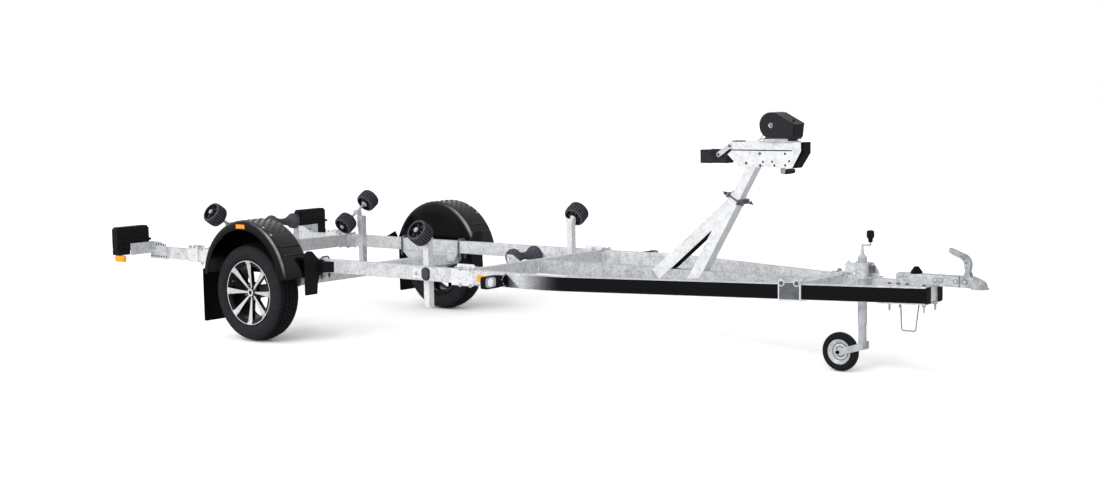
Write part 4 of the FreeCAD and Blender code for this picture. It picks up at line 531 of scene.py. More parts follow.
def addPiece(name, bm, body, materials, sharp=35):
    bmesh.ops.remove_doubles(bm, verts=bm.verts, dist=0.00002)
    bmesh.ops.recalc_face_normals(bm, faces=bm.faces)
    for face in bm.faces:
        face.smooth = True
    for edge in bm.edges:
        if len(edge.link_faces) == 2 and edge.calc_face_angle(0) > radians(sharp):
            edge.smooth = False
    mesh = bpy.data.meshes.new(name)
    bm.to_mesh(mesh)
    bm.free()
    piece = bpy.data.objects.new(name, mesh)
    for material in materials:
        mesh.materials.append(material)
    bpy.context.scene.collection.objects.link(piece)
    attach(piece, body)
    return piece


# Road tyres: five ribs of tread blocks, rings moulded in the wall, and the bead against the rim.
# Points are given as distance across and radius
tyre = {
    "halfTread": 61.5, "shoulderDrop": 12, "groove": 7.5, "pitches": 68, "chamfer": 1.1,
    "widest": (92.1, 246.5), "wallFoot": (64.5, 197), "beadPoints": [(64, 186), (62, 179)],
    "wallRings": {4: -1.2, 5: 0.3, 14: 0.2, 15: -1.0, 16: 0.2},     # how far points of the wall stand out
    "ribs": [(-61, -42), (-36, -16), (-11, 11), (16, 36), (42, 61)],
    "gaps": (0.17, 0.1, 0.1, 0.1, 0.17),    # share of a pitch left open between two blocks of a rib
    "leans": (0.18, 0.18, 0, -0.18, -0.18),
}


def crown(across, depth=0.0):
    return roadWheel["radius"] - tyre["shoulderDrop"] * (across / tyre["halfTread"]) ** 2 - depth


def roadTyre(side):
    bm = bmesh.new()
    centre = (0, side * roadWheel["track"], roadWheel["radius"])
    half = tyre["halfTread"]
    base = [(-half + k * half / 4, crown(-half + k * half / 4, tyre["groove"])) for k in range(9)]
    shoulder = (half, roadWheel["radius"] - tyre["shoulderDrop"])
    wall = arcThrough(shoulder, tyre["widest"], tyre["wallFoot"], 20)
    right = [(y + tyre["wallRings"].get(k, 0), r) for k, (y, r) in enumerate(wall)] + tyre["beadPoints"]
    left = [(-y, r) for y, r in reversed(right)]
    lathe(bm, left + base + right, centre, (0, side, 0), 136)
    step = 2 * pi / tyre["pitches"]
    for p in range(tyre["pitches"]):
        for index, (a, b) in enumerate(tyre["ribs"]):
            shift = step * (0.5 if index % 2 else 0)
            lean = step * tyre["leans"][index]
            corners = []
            for inset, depth in ((0, tyre["groove"] + 0.5), (0, 1), (tyre["chamfer"], 0)):
                ring = []
                for across, along in ((a, 0), (b, 0), (b, 1), (a, 1)):
                    y = across + (inset if across == a else -inset)
                    nudge = inset / roadWheel["radius"] * (1 if along == 0 else -1)
                    angle = p * step + shift + along * step * (1 - tyre["gaps"][index])
                    angle += lean * (across - a) / (b - a) + nudge
                    out = Vector((cos(angle), 0, sin(angle)))
                    spot = Vector(centre) + Vector((0, side * y, 0)) + out * crown(y, depth)
                    ring.append(bm.verts.new(place(*spot)))
                corners.append(ring)
            for lower, upper in zip(corners, corners[1:]):
                for k in range(4):
                    bm.faces.new([lower[k], lower[(k + 1) % 4], upper[(k + 1) % 4], upper[k]])
            bm.faces.new(corners[-1])
    return bm


for side, word in ((1, "left"), (-1, "right")):
    piece = addPiece("roadTyre_" + word, roadTyre(side), "wheel_" + word, [tyreBlack], 28)
    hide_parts("tyre_" + word)
print("road tyres")


# Wheel faces: bright spoke faces on the painted casting, centre cap, bolts in their pockets and the valve
wheelFace = {
    "spokes": 8, "edge": 0.8, "edgeDrop": 0.9,
    # radius, half width and height of a spoke's face, from the cap to the lip
    "rows": [(26, 5.0, 51.2), (36, 5.6, 51.2), (54, 7.2, 53.8), (100, 10.6, 58.9), (140, 14.4, 63.3),
             (171, 18.2, 66.8), (173, 18.6, 69.2), (190, 22.0, 75.3)],
    "boltCircle": 43, "boltFoot": 50.5, "capFoot": 60, "valve": (-150, 44, 62),
}

for side, word in ((1, "left"), (-1, "right")):
    bm = bmesh.new()
    for k in range(wheelFace["spokes"]):
        angle = 2 * pi * k / wheelFace["spokes"]
        out = Vector((cos(angle), 0, sin(angle)))
        across = Vector((-sin(angle), 0, cos(angle)))
        drop = Vector((0, side * wheelFace["edgeDrop"], 0))
        rows = []
        for r, half, height in wheelFace["rows"]:
            middle = Vector((0, side * (roadWheel["track"] + height), roadWheel["radius"])) + out * r
            flat = half - wheelFace["edge"]
            rows.append([middle - across * half - drop, middle - across * flat, middle + across * flat,
                         middle + across * half - drop])
        points = [[bm.verts.new(place(*p)) for p in row] for row in rows]
        for one, two in zip(points, points[1:]):
            for a in range(3):
                bm.faces.new([one[a], one[a + 1], two[a + 1], two[a]])
    capFoot = (0, side * (roadWheel["track"] + wheelFace["capFoot"]), roadWheel["radius"])
    lathe(bm, [(-9, 26), (0, 25), (1.5, 23), (1.5, 14), (0.5, 13)], capFoot, (0, side, 0), 32)
    lathe(bm, [(0.5, 13), (0.2, 6), (1.2, 5), (1.2, 0)], capFoot, (0, side, 0), 32, slot=1)
    addPiece("wheelFaces_" + word, bm, "wheel_" + word, [brightAlloy, glossBlack])
    bm = bmesh.new()
    for k in range(0, wheelFace["spokes"], 2):
        angle = 2 * pi * (k + 0.5) / wheelFace["spokes"]
        spot = (cos(angle) * wheelFace["boltCircle"], side * (roadWheel["track"] + wheelFace["boltFoot"]),
                roadWheel["radius"] + sin(angle) * wheelFace["boltCircle"])
        lathe(bm, [(0, 9), (2, 9), (4, 7.4), (9, 7.4), (10, 6), (10, 0)], spot, (0, side, 0), 6)
    x, y, z = wheelFace["valve"]
    foot = (x, side * (roadWheel["track"] + y), roadWheel["radius"] + z)
    lathe(bm, [(0, 4), (22, 4), (24, 5), (34, 5), (35, 4), (35, 0)], foot, (0.3, side, 0), 12)
    addPiece("wheelBolts_" + word, bm, "wheel_" + word, [darkPlatedAndShade])
print("wheel faces")


# Side rollers: moulded with fine cross ribs, two grooves and six webs in each end; notches and recessed ends
# in painted shade
sideRoller = {
    "radius": 69, "half": 41, "ribs": 28, "ribDepth": 5, "web": 15, "hub": 24, "bore": 10.05,
    "grooves": (-14, 14), "webs": 6, "webThickness": 5, "webLength": 21, "tilt": 33,
    "frontY": 628, "frontLeft": (1316, 710), "frontRight": (1165, 686),
    "pivot": (-568, 568, 661), "spacing": 260,
}


def rollerMesh(centre, axis):
    bm = bmesh.new()
    s = sideRoller
    half, r, web, hub, bore = s["half"], s["radius"], s["web"], s["hub"], s["bore"]
    outer = [(-half, r - 17), (-half, r - 10), (-half + 3, r - 5), (-half + 9, r - 2)]
    for groove in s["grooves"]:
        outer += [(groove - 2.5, r - 0.4), (groove - 1.2, r - 2.6)]
        outer += [(groove + 1.2, r - 2.6), (groove + 2.5, r - 0.4)]
    outer += [(half - 9, r - 2), (half - 3, r - 5), (half, r - 10), (half, r - 17)]
    inner = [(half, r - 17), (web, r - 21), (web, hub + 3), (half - 2, hub), (half, hub - 2), (half, bore)]
    inner += [(-d, radius) for d, radius in reversed(inner)]
    axis = Vector(axis).normalized()
    radial = axis.orthogonal().normalized()
    other = axis.cross(radial)
    steps = s["ribs"] * 4
    rings = []
    for k in range(steps):
        angle = 2 * pi * k / steps
        out = radial * cos(angle) + other * sin(angle)
        ring = []
        for d, radius in outer:
            notched = k % 4 == 3 and abs(d) < half - 0.5
            inside = radius - (s["ribDepth"] if notched else 0)
            ring.append(bm.verts.new(place(*(Vector(centre) + axis * d + out * inside))))
        rings.append(ring)
    for k in range(steps):
        one, two = rings[k], rings[(k + 1) % steps]
        for a in range(len(outer) - 1):
            face = bm.faces.new([one[a], one[a + 1], two[a + 1], two[a]])
            middle = (outer[a][0] + outer[a + 1][0]) / 2
            # the faces round each notch take the darker rubber: painted shade in the grooves
            face.material_index = 1 if k % 4 > 1 and abs(middle) < half - 2 else 0
    # the recessed ends and the bore are in the darker rubber too, as painted shade
    lathe(bm, inner, centre, axis, steps, radial, slot=1)
    for end in (1, -1):
        for k in range(s["webs"]):
            angle = 2 * pi * k / s["webs"]
            out = radial * cos(angle) + other * sin(angle)
            across = axis.cross(out)
            foot = Vector(centre) + axis * (end * web) + out * (hub + 1) - across * (s["webThickness"] / 2)
            rim = foot + out * s["webLength"]
            prism(bm, [foot, rim, rim + axis * end * 12, foot + axis * end * 16], across * s["webThickness"])
    return bm


lean = radians(sideRoller["tilt"])
for side, word in ((1, "left"), (-1, "right")):
    axis = Vector((0, side * cos(lean), sin(lean)))
    x, z = sideRoller["frontLeft"] if side > 0 else sideRoller["frontRight"]
    spots = {"front_" + word: Vector((x, side * sideRoller["frontY"], z))}
    x, y, z = sideRoller["pivot"]
    pivot = Vector((x, side * y, z))
    spots["rear_" + word + "_inner"] = pivot - axis * (sideRoller["spacing"] / 2)
    spots["rear_" + word + "_outer"] = pivot + axis * (sideRoller["spacing"] / 2)
    for key, centre in spots.items():
        piece = addPiece("ribbedRoller_" + key, rollerMesh(centre, axis), "roller_" + key,
                         [rollerGrey, rollerShadeInGrooves], 50)
        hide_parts("roller_" + key)
        onRocker = key.startswith("rear")
        bm = bmesh.new()
        for end in (1, -1):
            reach = sideRoller["half"] + (1 if onRocker else 0)
            hexBolt(bm, centre + axis * (end * reach), axis * end, 20, 6)
        carrier = "rocker_" + word if onRocker else "frame"
        addPiece("rollerNuts_" + key, bm, carrier, [plated])
print("side rollers")


# Fasteners that stay with the frame: flange bolts through the rails, post bolts, clamp bolts and axle U-bolts
railLine = {"centreY": 613, "bendX": 2125, "slope": 0.28613}


def railY(x, offset):
    if x < railLine["bendX"]:
        return railLine["centreY"] + offset
    slope = railLine["slope"]
    return railLine["centreY"] - (x - railLine["bendX"]) * slope + offset * sqrt(1 + slope ** 2)


def railNormal(x, side):
    if x < railLine["bendX"]:
        return Vector((0, side, 0))
    return Vector((railLine["slope"], side, 0)).normalized()


frameBolt = {
    "flanges": {-715: (411, 501), 1515: (411, 501), 3380: (501,)},      # each member's x, and z of its bolts
    "spacing": 38, "reach": 31,     # from the flange's middle along the rail, and from the rail's centre line
    "front": 3380,                  # its upper nuts, dark as painted shade, stand on bright collars
    "posts": ((1140, -1), (1316, 1), (-520, 1), (-520, -1)), "postY": 644, "postZ": 456,
    "roof": (1430, 1475, 1535), "roofY": 624, "roofZ": 499,         # studs on top of the middle clamps
    "ears": (-870, -830), "earY": (578, 642, 650), "earZ": 512,     # bolts through the ears of the end clamps
}
bm = bmesh.new()
for x, heights in frameBolt["flanges"].items():
    for side in (1, -1):
        out = railNormal(x, side)
        for dx in (-frameBolt["spacing"], frameBolt["spacing"]):
            for z in heights:
                spot = Vector((x + dx, side * railY(x + dx, frameBolt["reach"]), z))
                back = Vector((x + dx, side * railY(x + dx, -frameBolt["reach"]), z))
                if x == frameBolt["front"]:
                    lathe(bm, [(0, 18), (4, 18), (7, 14), (7, 8)], spot, out, 24, slot=1)
                    # the nut takes the dark plate as painted shade, against its bright collar
                    hexBolt(bm, spot + out * 5, out, 15, 8, 2)
                else:
                    hexBolt(bm, spot, out, 17, 7)
                hexBolt(bm, back, out * -1, 17, 7, stud=9)
                rod(bm, [back, spot], 5, 8)
for x, side in frameBolt["posts"]:
    hexBolt(bm, (x, side * frameBolt["postY"], frameBolt["postZ"]), (0, side, 0), 15, 6)
inner, nut, outer = frameBolt["earY"]
for side in (1, -1):
    for x in frameBolt["roof"]:
        hexBolt(bm, (x, side * frameBolt["roofY"], frameBolt["roofZ"]), (0, 0, 1), 15, 7, stud=6)
    for x in frameBolt["ears"]:
        rod(bm, [(x, side * y, frameBolt["earZ"]) for y in (inner, outer)], 5, 8)
        hexBolt(bm, (x, side * nut, frameBolt["earZ"]), (0, side, 0), 15, 6, stud=4)
addPiece("frameBolts", bm, "frame", [plated, rimSteel, darkPlatedAndShade])

# The duller face of the front clamp plates, a skin over the pale one
clampFace = {"x": (3331, 3429), "z": (418, 503), "reach": 31.2, "skin": 0.8}
bm = bmesh.new()
low, high = clampFace["z"]
for side in (1, -1):
    rear, front = ((x, side * railY(x, clampFace["reach"])) for x in clampFace["x"])
    prism(bm, [(*rear, low), (*front, low), (*front, high), (*rear, high)],
          railNormal(frameBolt["front"], side) * clampFace["skin"], 0.2)
addPiece("frontClampFaces", bm, "frame", [dullSteel])

uBolt = {"x": (-157, 357), "y": (582, 644), "foot": 396, "top": 507, "bend": 8, "bendDrop": 7, "radius": 6}
bm = bmesh.new()
inner, outer = uBolt["y"]
for side in (1, -1):
    for x in uBolt["x"]:
        top, leg = uBolt["top"], uBolt["top"] - uBolt["bendDrop"]
        path = [(inner, uBolt["foot"]), (inner, leg), (inner + uBolt["bend"], top)]
        path += [(outer - uBolt["bend"], top), (outer, leg), (outer, uBolt["foot"])]
        rod(bm, [(x, side * y, z) for y, z in path], uBolt["radius"])
        for y in uBolt["y"]:
            hexBolt(bm, (x, side * y, uBolt["foot"] + 4), (0, 0, -1), 17, 8, stud=12)
addPiece("railUBolts", bm, "frame", [darkPlatedAndShade])

# Domed oval cover on the right rail
ovalCover = {"x": 1211, "y": -644, "z": 456, "halfLength": 27, "halfHeight": 36, "rise": 9}
bm = bmesh.new()
rows = []
for ring in range(6):
    turn = ring / 5 * pi / 2
    shrink = max(cos(turn), 0.02)
    row = []
    for k in range(32):
        angle = 2 * pi * k / 32
        row.append(bm.verts.new(place(ovalCover["x"] + cos(angle) * ovalCover["halfLength"] * shrink,
                                      ovalCover["y"] - ovalCover["rise"] * sin(turn),
                                      ovalCover["z"] + sin(angle) * ovalCover["halfHeight"] * shrink)))
    rows.append(row)
for one, two in zip(rows, rows[1:]):
    for a in range(32):
        bm.faces.new([one[a], one[(a + 1) % 32], two[(a + 1) % 32], two[a]])
bm.faces.new(rows[-1])
addPiece("ovalCover", bm, "frame", [coverGrey])
print("frame bolts")


# Fenders: the shell with its rolled shoulders, cross ribs, tread pattern, amber side reflector and screws
fender = {
    "radius": 372, "centreZ": 365, "edgeIn": 735, "edgeOut": 955, "endZ": 400,
    "ribAngles": (28, 37, 143, 152), "ribY": (766, 924), "ribWidth": 15, "ribHeight": 7,
    "treadRows": 21, "treadFrom": 55, "treadPitch": 3.5,    # degrees round the wheel
    "treadColumns": 7, "treadY": 770, "treadSpacing": 25, "studLong": 12, "studShort": 3.4, "studHeight": 3.2,
    "reflectorX": (-43, 34), "reflectorZ": (686, 714),
    "screwAngles": (52, 64, 116, 128), "screwY": 922,
    "flapScrewX": -374.8, "flapScrewY": (796, 934), "flapScrewZ": 412,
}


def fenderPoint(angle, y, lift, side):
    r = fender["radius"] + lift
    return Vector((cos(radians(angle)) * r, side * y, fender["centreZ"] + sin(radians(angle)) * r))


def fenderShell(side):
    bm = bmesh.new()
    low, high, r = fender["edgeIn"], fender["edgeOut"], fender["radius"]
    section = [(low, 0), (low, 180)] + arcThrough((low, r - 32), (low + 9.5, r - 10), (low + 30, r), 9)
    section += arcThrough((high - 30, r), (high - 9, r - 6), (high, r - 21), 9)
    section += [(high, r - 45), (high + 3, r - 46), (high + 3, r - 54), (high - 4, r - 54)]
    section += [(high - 4, r - 21), (high - 30, r - 4), (low + 30, r - 4), (low + 10, r - 14)]
    section += [(low + 4, r - 32), (low + 4, 0)]
    lathe(bm, section, (0, 0, fender["centreZ"]), (0, side, 0), 96, (1, 0, 0), sweep=-side * pi)
    bmesh.ops.remove_doubles(bm, verts=bm.verts, dist=0.00002)
    whole = bm.verts[:] + bm.edges[:] + bm.faces[:]
    bmesh.ops.bisect_plane(bm, geom=whole, plane_co=place(0, 0, fender["endZ"]), plane_no=(0, 0, 1),
                           clear_inner=True)
    bmesh.ops.holes_fill(bm, edges=[e for e in bm.edges if e.is_boundary], sides=0)
    return bm


def fenderTrim(side):
    bm = bmesh.new()
    degree = 180 / pi / fender["radius"]        # degrees that one millimetre takes round the fender
    start, end = fender["ribY"]
    for angle in fender["ribAngles"]:
        half = fender["ribWidth"] / 2 * degree
        corners = ((-half, start, -1), (-half / 2, start + 3, fender["ribHeight"]),
                   (half / 2, start + 3, fender["ribHeight"]), (half, start, -1))
        outline = [fenderPoint(angle + turn, y, lift, side) for turn, y, lift in corners]
        prism(bm, outline, (0, side * (end - start), 0), 1)
    long, short = fender["studLong"], fender["studShort"]
    for row in range(fender["treadRows"]):
        angle = fender["treadFrom"] + row * fender["treadPitch"]
        for column in range(fender["treadColumns"]):
            y = fender["treadY"] + column * fender["treadSpacing"]
            tilt = radians(45 if (row + column) % 2 else -45)
            tip = bm.verts.new(place(*fenderPoint(angle, y, fender["studHeight"], side)))
            low = []
            for u, v in ((long, 0), (0, short), (-long, 0), (0, -short)):
                du = u * cos(tilt) - v * sin(tilt)
                dv = u * sin(tilt) + v * cos(tilt)
                low.append(bm.verts.new(place(*fenderPoint(angle + du * degree, y + dv, -0.4, side))))
            for k in range(4):
                bm.faces.new([low[k], low[(k + 1) % 4], tip])
    return bm


for side, word in ((1, "left"), (-1, "right")):
    piece = addPiece("fenderShell_" + word, fenderShell(side), "frame", [fenderBlackWithPaintedHighlight])
    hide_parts("fender_" + word)
    addPiece("fenderRibs_" + word, fenderTrim(side), "frame", [ribBlackWithPaintedHighlight], 30)
bm = bmesh.new()
for side in (1, -1):
    face = side * fender["edgeOut"]
    block(bm, fender["reflectorX"], sorted((face, face + side * 3)), fender["reflectorZ"], 1.2)
addPiece("fenderReflectors", bm, "frame", [amber])
bm = bmesh.new()
for side in (1, -1):
    for angle in fender["screwAngles"]:
        foot = fenderPoint(angle, fender["screwY"], 0, side)
        out = fenderPoint(angle, 0, 1, side) - fenderPoint(angle, 0, 0, side)
        lathe(bm, [(0, 8), (1.5, 8), (3.6, 5), (4, 0)], foot, out, 14)
    for y in fender["flapScrewY"]:
        foot = (fender["flapScrewX"], side * y, fender["flapScrewZ"])
        lathe(bm, [(0, 7), (1.5, 7), (3.5, 4), (4, 0)], foot, (-1, 0, 0), 12)
addPiece("fenderScrews", bm, "frame", [plated])
print("fenders")


# Rear lamps: rounded housings with red and amber lenses, and the rows of holes in the carriers' side plates
rearLamp = {
    "lensX": (-1329.9, -1325), "lensZ": (560, 628), "lenses": ((681, 754, 0), (758, 830, 1), (834, 907, 0)),
    "lowLens": ((690, 790), (502, 534)),
    "body": ((-1328, -1250), (668, 920), (487, 640)), "backRib": ((-1256, -1234.5), (670, 918), (542, 558)),
    "foot": ((-1327, -1251), (828, 916), (457.5, 496)),
    "holes": 7, "firstHole": -1276, "holePitch": 25, "holeY": 639.7, "holeZ": (432, 510),
    "plugHole": (-1010, 634.8, 456),
}
bm = bmesh.new()
for side in (1, -1):
    for low, high, slot in rearLamp["lenses"]:
        block(bm, rearLamp["lensX"], sorted((side * low, side * high)), rearLamp["lensZ"], 1.5, slot)
    y, z = rearLamp["lowLens"]
    block(bm, rearLamp["lensX"], sorted(side * edge for edge in y), z)
addPiece("rearLenses", bm, "frame", [red, amber])
bm = bmesh.new()
for side in (1, -1):
    for name, bevel in (("body", 11), ("backRib", 2), ("foot", 4)):
        x, y, z = rearLamp[name]
        block(bm, x, sorted(side * edge for edge in y), z, bevel)
piece = addPiece("rearLampHousings", bm, "frame", [mattBlack])
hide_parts("rear_lamps")
bm = bmesh.new()
for side in (1, -1):
    for k in range(rearLamp["holes"]):
        for z in rearLamp["holeZ"]:
            spot = (rearLamp["firstHole"] + k * rearLamp["holePitch"], side * rearLamp["holeY"], z)
            disc(bm, spot, (0, side, 0), 6.5)
    x, y, z = rearLamp["plugHole"]
    disc(bm, (x, side * y, z), (0, side, 0), 5)
addPiece("carrierHoles", bm, "frame", [boreShadow])

# Front marker lamps: a lens with round corners, the bright spot of the bulb behind it as a painted glow, and
# screws
markerLamp = {"face": 1800, "y": (722, 804), "z": (431, 485), "corner": 16, "bulb": (766, 458),
              "screws": ((660, 476), (668, 463), (658, 440))}
bm = bmesh.new()
for side in (1, -1):
    outline = []
    r = markerLamp["corner"]
    for turn, edgeY, edgeZ in ((0, 1, 1), (90, 0, 1), (180, 0, 0), (270, 1, 0)):
        y = markerLamp["y"][edgeY] + r * (1 - 2 * edgeY)
        z = markerLamp["z"][edgeZ] + r * (1 - 2 * edgeZ)
        for a in range(turn, turn + 91, 15):
            outline.append((markerLamp["face"], side * (y + cos(radians(a)) * r), z + sin(radians(a)) * r))
    prism(bm, outline, (9, 0, 0), 1.5)
    y, z = markerLamp["bulb"]
    spot = (markerLamp["face"] + 8.5, side * y, z)
    # the bulb's bright spot is a painted glow in the clear lens
    lathe(bm, [(0, 24), (1, 23), (2.5, 14), (3, 0)], spot, (1, 0, 0), 24, slot=1)
addPiece("markerLenses", bm, "frame", [lensGrey, clear])
bm = bmesh.new()
for side in (1, -1):
    for y, z in markerLamp["screws"]:
        spot = (markerLamp["face"] + 6, side * y, z)
        lathe(bm, [(0, 4.5), (1.5, 4.5), (2.5, 2.5), (2.5, 0)], spot, (1, 0, 0), 12)
addPiece("markerScrews", bm, "frame", [plated])
print("lamps")


# Winch: ribs, skirt, knob and dark nose of the cover, shaft end, guide loop, link plates, bolts and bores of
# the head, and the shaded gaps between its plates and beside the leg
winch = {
    "shaft": (3137, 1285), "shaftEnd": -60, "axis": Vector((0.873, 0, -0.488)), "plateY": 35, "linkY": 40,
    "ribs": (-56, 51), "ribOutline": [(3160, 1352), (3274, 1293.5), (3274, 1288), (3160, 1344)],
    "nose": [(3274.6, 1287), (3266.8, 1227), (3262, 1227), (3270, 1287)], "noseHalf": 51,
    "skirt": ((3100, 3262), (-54, 54), (1212, 1228)), "knob": (3240, 0, 1306), "knobAxis": (0.46, 0, 0.89),
    "guide": [(3044, 1199), (3052, 1212), (3089, 1245)], "guideHalf": 28, "guideRadius": 3.2,
    "linkEnds": [(2806, 1129), (2876, 1176)], "linkRadius": 13,
    "bolts": [(3058, 1137), (2975, 1086), (3061, 1074)],
    "legBolts": ((1, 2946, 871, 12), (-1, 2854, 923, 10)),      # direction, x, z and stud
    "bores": [(3210, 1138), (3235, 1100), (3132, 1096), (3077, 1094), (3146, 1076), (3211, 1078)],
    "plateGap": ((2886, 3252), (34.5, 35.4), (1151.5, 1157)),
    "tubeGap": ((2880, 2938), (-24, 24), (1197.5, 1203)),
    "legGap": [(2485, 499), (2757, 722.8), (2755, 725.4), (2483, 501.6)], "legHalf": 31,
}
bm = bmesh.new()
for y in winch["ribs"]:
    prism(bm, [(x, y, z) for x, z in winch["ribOutline"]], (0, 5, 0), 0.8)
block(bm, *winch["skirt"], 4)
lathe(bm, [(0, 8), (5, 7), (9, 7), (11, 5), (11, 0)], winch["knob"], winch["knobAxis"], 18)
prism(bm, [(x, -winch["noseHalf"], z) for x, z in winch["nose"]], (0, 2 * winch["noseHalf"], 0), 1, 1)
addPiece("winchCoverTrim", bm, "frame", [coverBlack, mattBlack])
bm = bmesh.new()
x, z = winch["shaft"]
disc(bm, (x, winch["shaftEnd"], z), (0, -1, 0), 10, 0.8, 0, 28)
y = winch["shaftEnd"] - 0.9
flat = [(x + cos(radians(a)) * 7.5, y, z + sin(radians(a)) * 7.5) for a in range(-70, 111, 15)]
prism(bm, flat, (0, -0.4, 0), 0, 1)
addPiece("winchShaftEnd", bm, "winch_drum", [rimSteel, boreShadow])
bm = bmesh.new()
for y in (-winch["guideHalf"], winch["guideHalf"]):
    rod(bm, [(x, y, z) for x, z in winch["guide"]], winch["guideRadius"], 8)
x, z = winch["guide"][1]
rod(bm, [(x, -winch["guideHalf"], z), (x, winch["guideHalf"], z)], winch["guideRadius"], 8)
for side in (1, -1):
    (x0, z0), (x1, z1) = winch["linkEnds"]
    along = Vector((x1 - x0, 0, z1 - z0)).normalized()
    turn = atan2(along.z, along.x)
    outline = []
    for x, z, r in ((x1, z1, winch["linkRadius"]), (x0, z0, -winch["linkRadius"])):
        angles = [turn + radians(a) for a in range(-90, 91, 18)]
        outline += [(x + cos(angle) * r, side * winch["linkY"], z + sin(angle) * r) for angle in angles]
    prism(bm, outline, (0, side * 3, 0), 0.6)
addPiece("winchGuideAndLinks", bm, "frame", [rimSteel])
bm = bmesh.new()
for side in (1, -1):
    for y, spots in ((winch["plateY"], winch["bolts"]), (winch["linkY"] + 3, winch["linkEnds"])):
        for x, z in spots:
            hexBolt(bm, (x, side * y, z), (0, side, 0), 11, 5)
    for end, x, z, stud in winch["legBolts"]:
        hexBolt(bm, (x, side * 47.5, z), winch["axis"] * end, 15, 8, stud=stud)
addPiece("headBolts", bm, "frame", [darkPlatedAndShade])
bm = bmesh.new()
for side in (1, -1):
    for x, z in winch["bores"]:
        disc(bm, (x, side * winch["plateY"], z), (0, side, 0), 6)
    x, y, z = winch["plateGap"]
    block(bm, x, sorted(side * edge for edge in y), z, 0.1)
block(bm, *winch["tubeGap"])
prism(bm, [(x, -winch["legHalf"], z) for x, z in winch["legGap"]], (0, 2 * winch["legHalf"], 0), 0.2)
addPiece("headShadows", bm, "frame", [boreShadow])
print("winch")


# Coupling: round-headed bolts through the channel, bolts through the end plates, the plate between the rails'
# front ends, the seam at the cast head, the lever's holes in painted shade, the centre beam's rear edge and
# bolts
coupling = {
    "boltZ": 530, "boltX": (4052, 4080, 4159, 4208), "channelY": 31, "headX": 4178, "headY": 34,
    "topBolts": [(3818, -55), (3864, -52), (3912, -52), (4008, -62)], "top": 501, "bottom": 411,
    "leverHoleShades": [(4180, 652), (4196, 640), (4206, 622), (4207, 598)],
    "endPlate": ((4020, 4026), (-38, 38), (419, 493)), "beamEdge": ((1537, 1545), (-32, -29.5), (418, 494)),
    "seam": ((4176.5, 4179.5), (-34.4, 34.4), (503, 556)), "beamBolts": ((1497, 428), (1497, 468)),
    "beamBoltY": -30, "leverHalf": 13,
}
bm = bmesh.new()
for x in coupling["boltX"]:
    for side in (1, -1):
        reach = coupling["channelY"] if x < coupling["headX"] else coupling["headY"]
        spot = (x, side * reach, coupling["boltZ"])
        lathe(bm, [(0, 12), (1.6, 12), (1.6, 9.5)], spot, (0, side, 0), 18)
        lathe(bm, [(1.6, 9.5), (3.5, 8), (4.5, 4), (4.5, 0)], spot, (0, side, 0), 18, slot=1)
for x, y in coupling["topBolts"]:
    for side in (1, -1):
        hexBolt(bm, (x, y * side, coupling["top"]), (0, 0, 1), 15, 6)
for x, y in (coupling["topBolts"][0], coupling["topBolts"][-1]):
    for side in (1, -1):
        hexBolt(bm, (x, y * side, coupling["bottom"]), (0, 0, -1), 21, 11, 1, 30)
addPiece("couplingBolts", bm, "frame", [darkPlatedAndShade, plated])
bm = bmesh.new()
block(bm, *coupling["endPlate"], 1)
block(bm, *coupling["beamEdge"], 0.5)
addPiece("railEndPlate", bm, "frame", [freshSteel])
bm = bmesh.new()
block(bm, *coupling["seam"], 0.2)
for x, z in coupling["beamBolts"]:
    hexBolt(bm, (x, coupling["beamBoltY"], z), (0, -1, 0), 15, 6)
addPiece("beamBoltsAndSeam", bm, "frame", [darkPlatedAndShade])
bm = bmesh.new()
# dark discs on the lever's sides: painted shade of its holes
for side in (1, -1):
    for x, z in coupling["leverHoleShades"]:
        disc(bm, (x, side * coupling["leverHalf"], z), (0, side, 0), 4.5)
addPiece("leverHoleShades", bm, "coupling_lever", [darkPlatedAndShade])
print("coupling")


# Jockey wheel: fluted knob on the crank, the clamp's hinge and handle, rings on the rim's face, the pin's
# end;
# the inner rings, the hub and the pin's end are dark as painted shade of the dish
jockey = {
    "knob": (3620, 120), "flutes": 8, "fluteDips": (0, 0, 0.5, 1.8, 1.8, 0.5), "fluteFrom": 15,
    "knobProfile": [(684, 0), (684, 11), (700, 12), (706, 17), (711, 20.5), (735, 20.5),
                    (742, 18), (745.5, 10), (745.5, 0)],        # height, radius
    "hinge": ((3482, 3549), (99, 123), (523, 575)), "hingePin": [(3500, 109, 577), (3500, 109, 586)],
    "handle": ((3622, 3648), (98, 126), (527, 565)),
    "wheel": (3447, 103), "flangeY": 101, "webY": 116, "hubY": 97, "pinY": 88,
}
bm = bmesh.new()
x, y = jockey["knob"]
steps = jockey["flutes"] * len(jockey["fluteDips"])
rings = []
for k in range(steps):
    angle = 2 * pi * k / steps
    dip = jockey["fluteDips"][k % len(jockey["fluteDips"])]
    radii = [(z, r - (dip if r > jockey["fluteFrom"] else 0)) for z, r in jockey["knobProfile"]]
    rings.append([bm.verts.new(place(x + cos(angle) * r, y + sin(angle) * r, z)) for z, r in radii])
for one, two in zip(rings, rings[1:] + rings[:1]):
    for a in range(len(one) - 1):
        bm.faces.new([one[a], one[a + 1], two[a + 1], two[a]])
piece = addPiece("jockeyKnob", bm, "jockey_column", [mattBlack])
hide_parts("jockey_grip")
bm = bmesh.new()
block(bm, *jockey["hinge"], 4)
rod(bm, jockey["hingePin"], 6, 12)
block(bm, *jockey["handle"], 3, 1)
addPiece("jockeyClampHinge", bm, "frame", [steel, darkPlatedAndShade])
bm = bmesh.new()
x, z = jockey["wheel"]
flange, web = (x, jockey["flangeY"], z), (x, jockey["webY"], z)
lathe(bm, [(-0.5, 65.8), (1.4, 65), (1.4, 62.5), (-0.5, 61.5)], flange, (0, -1, 0), 40)
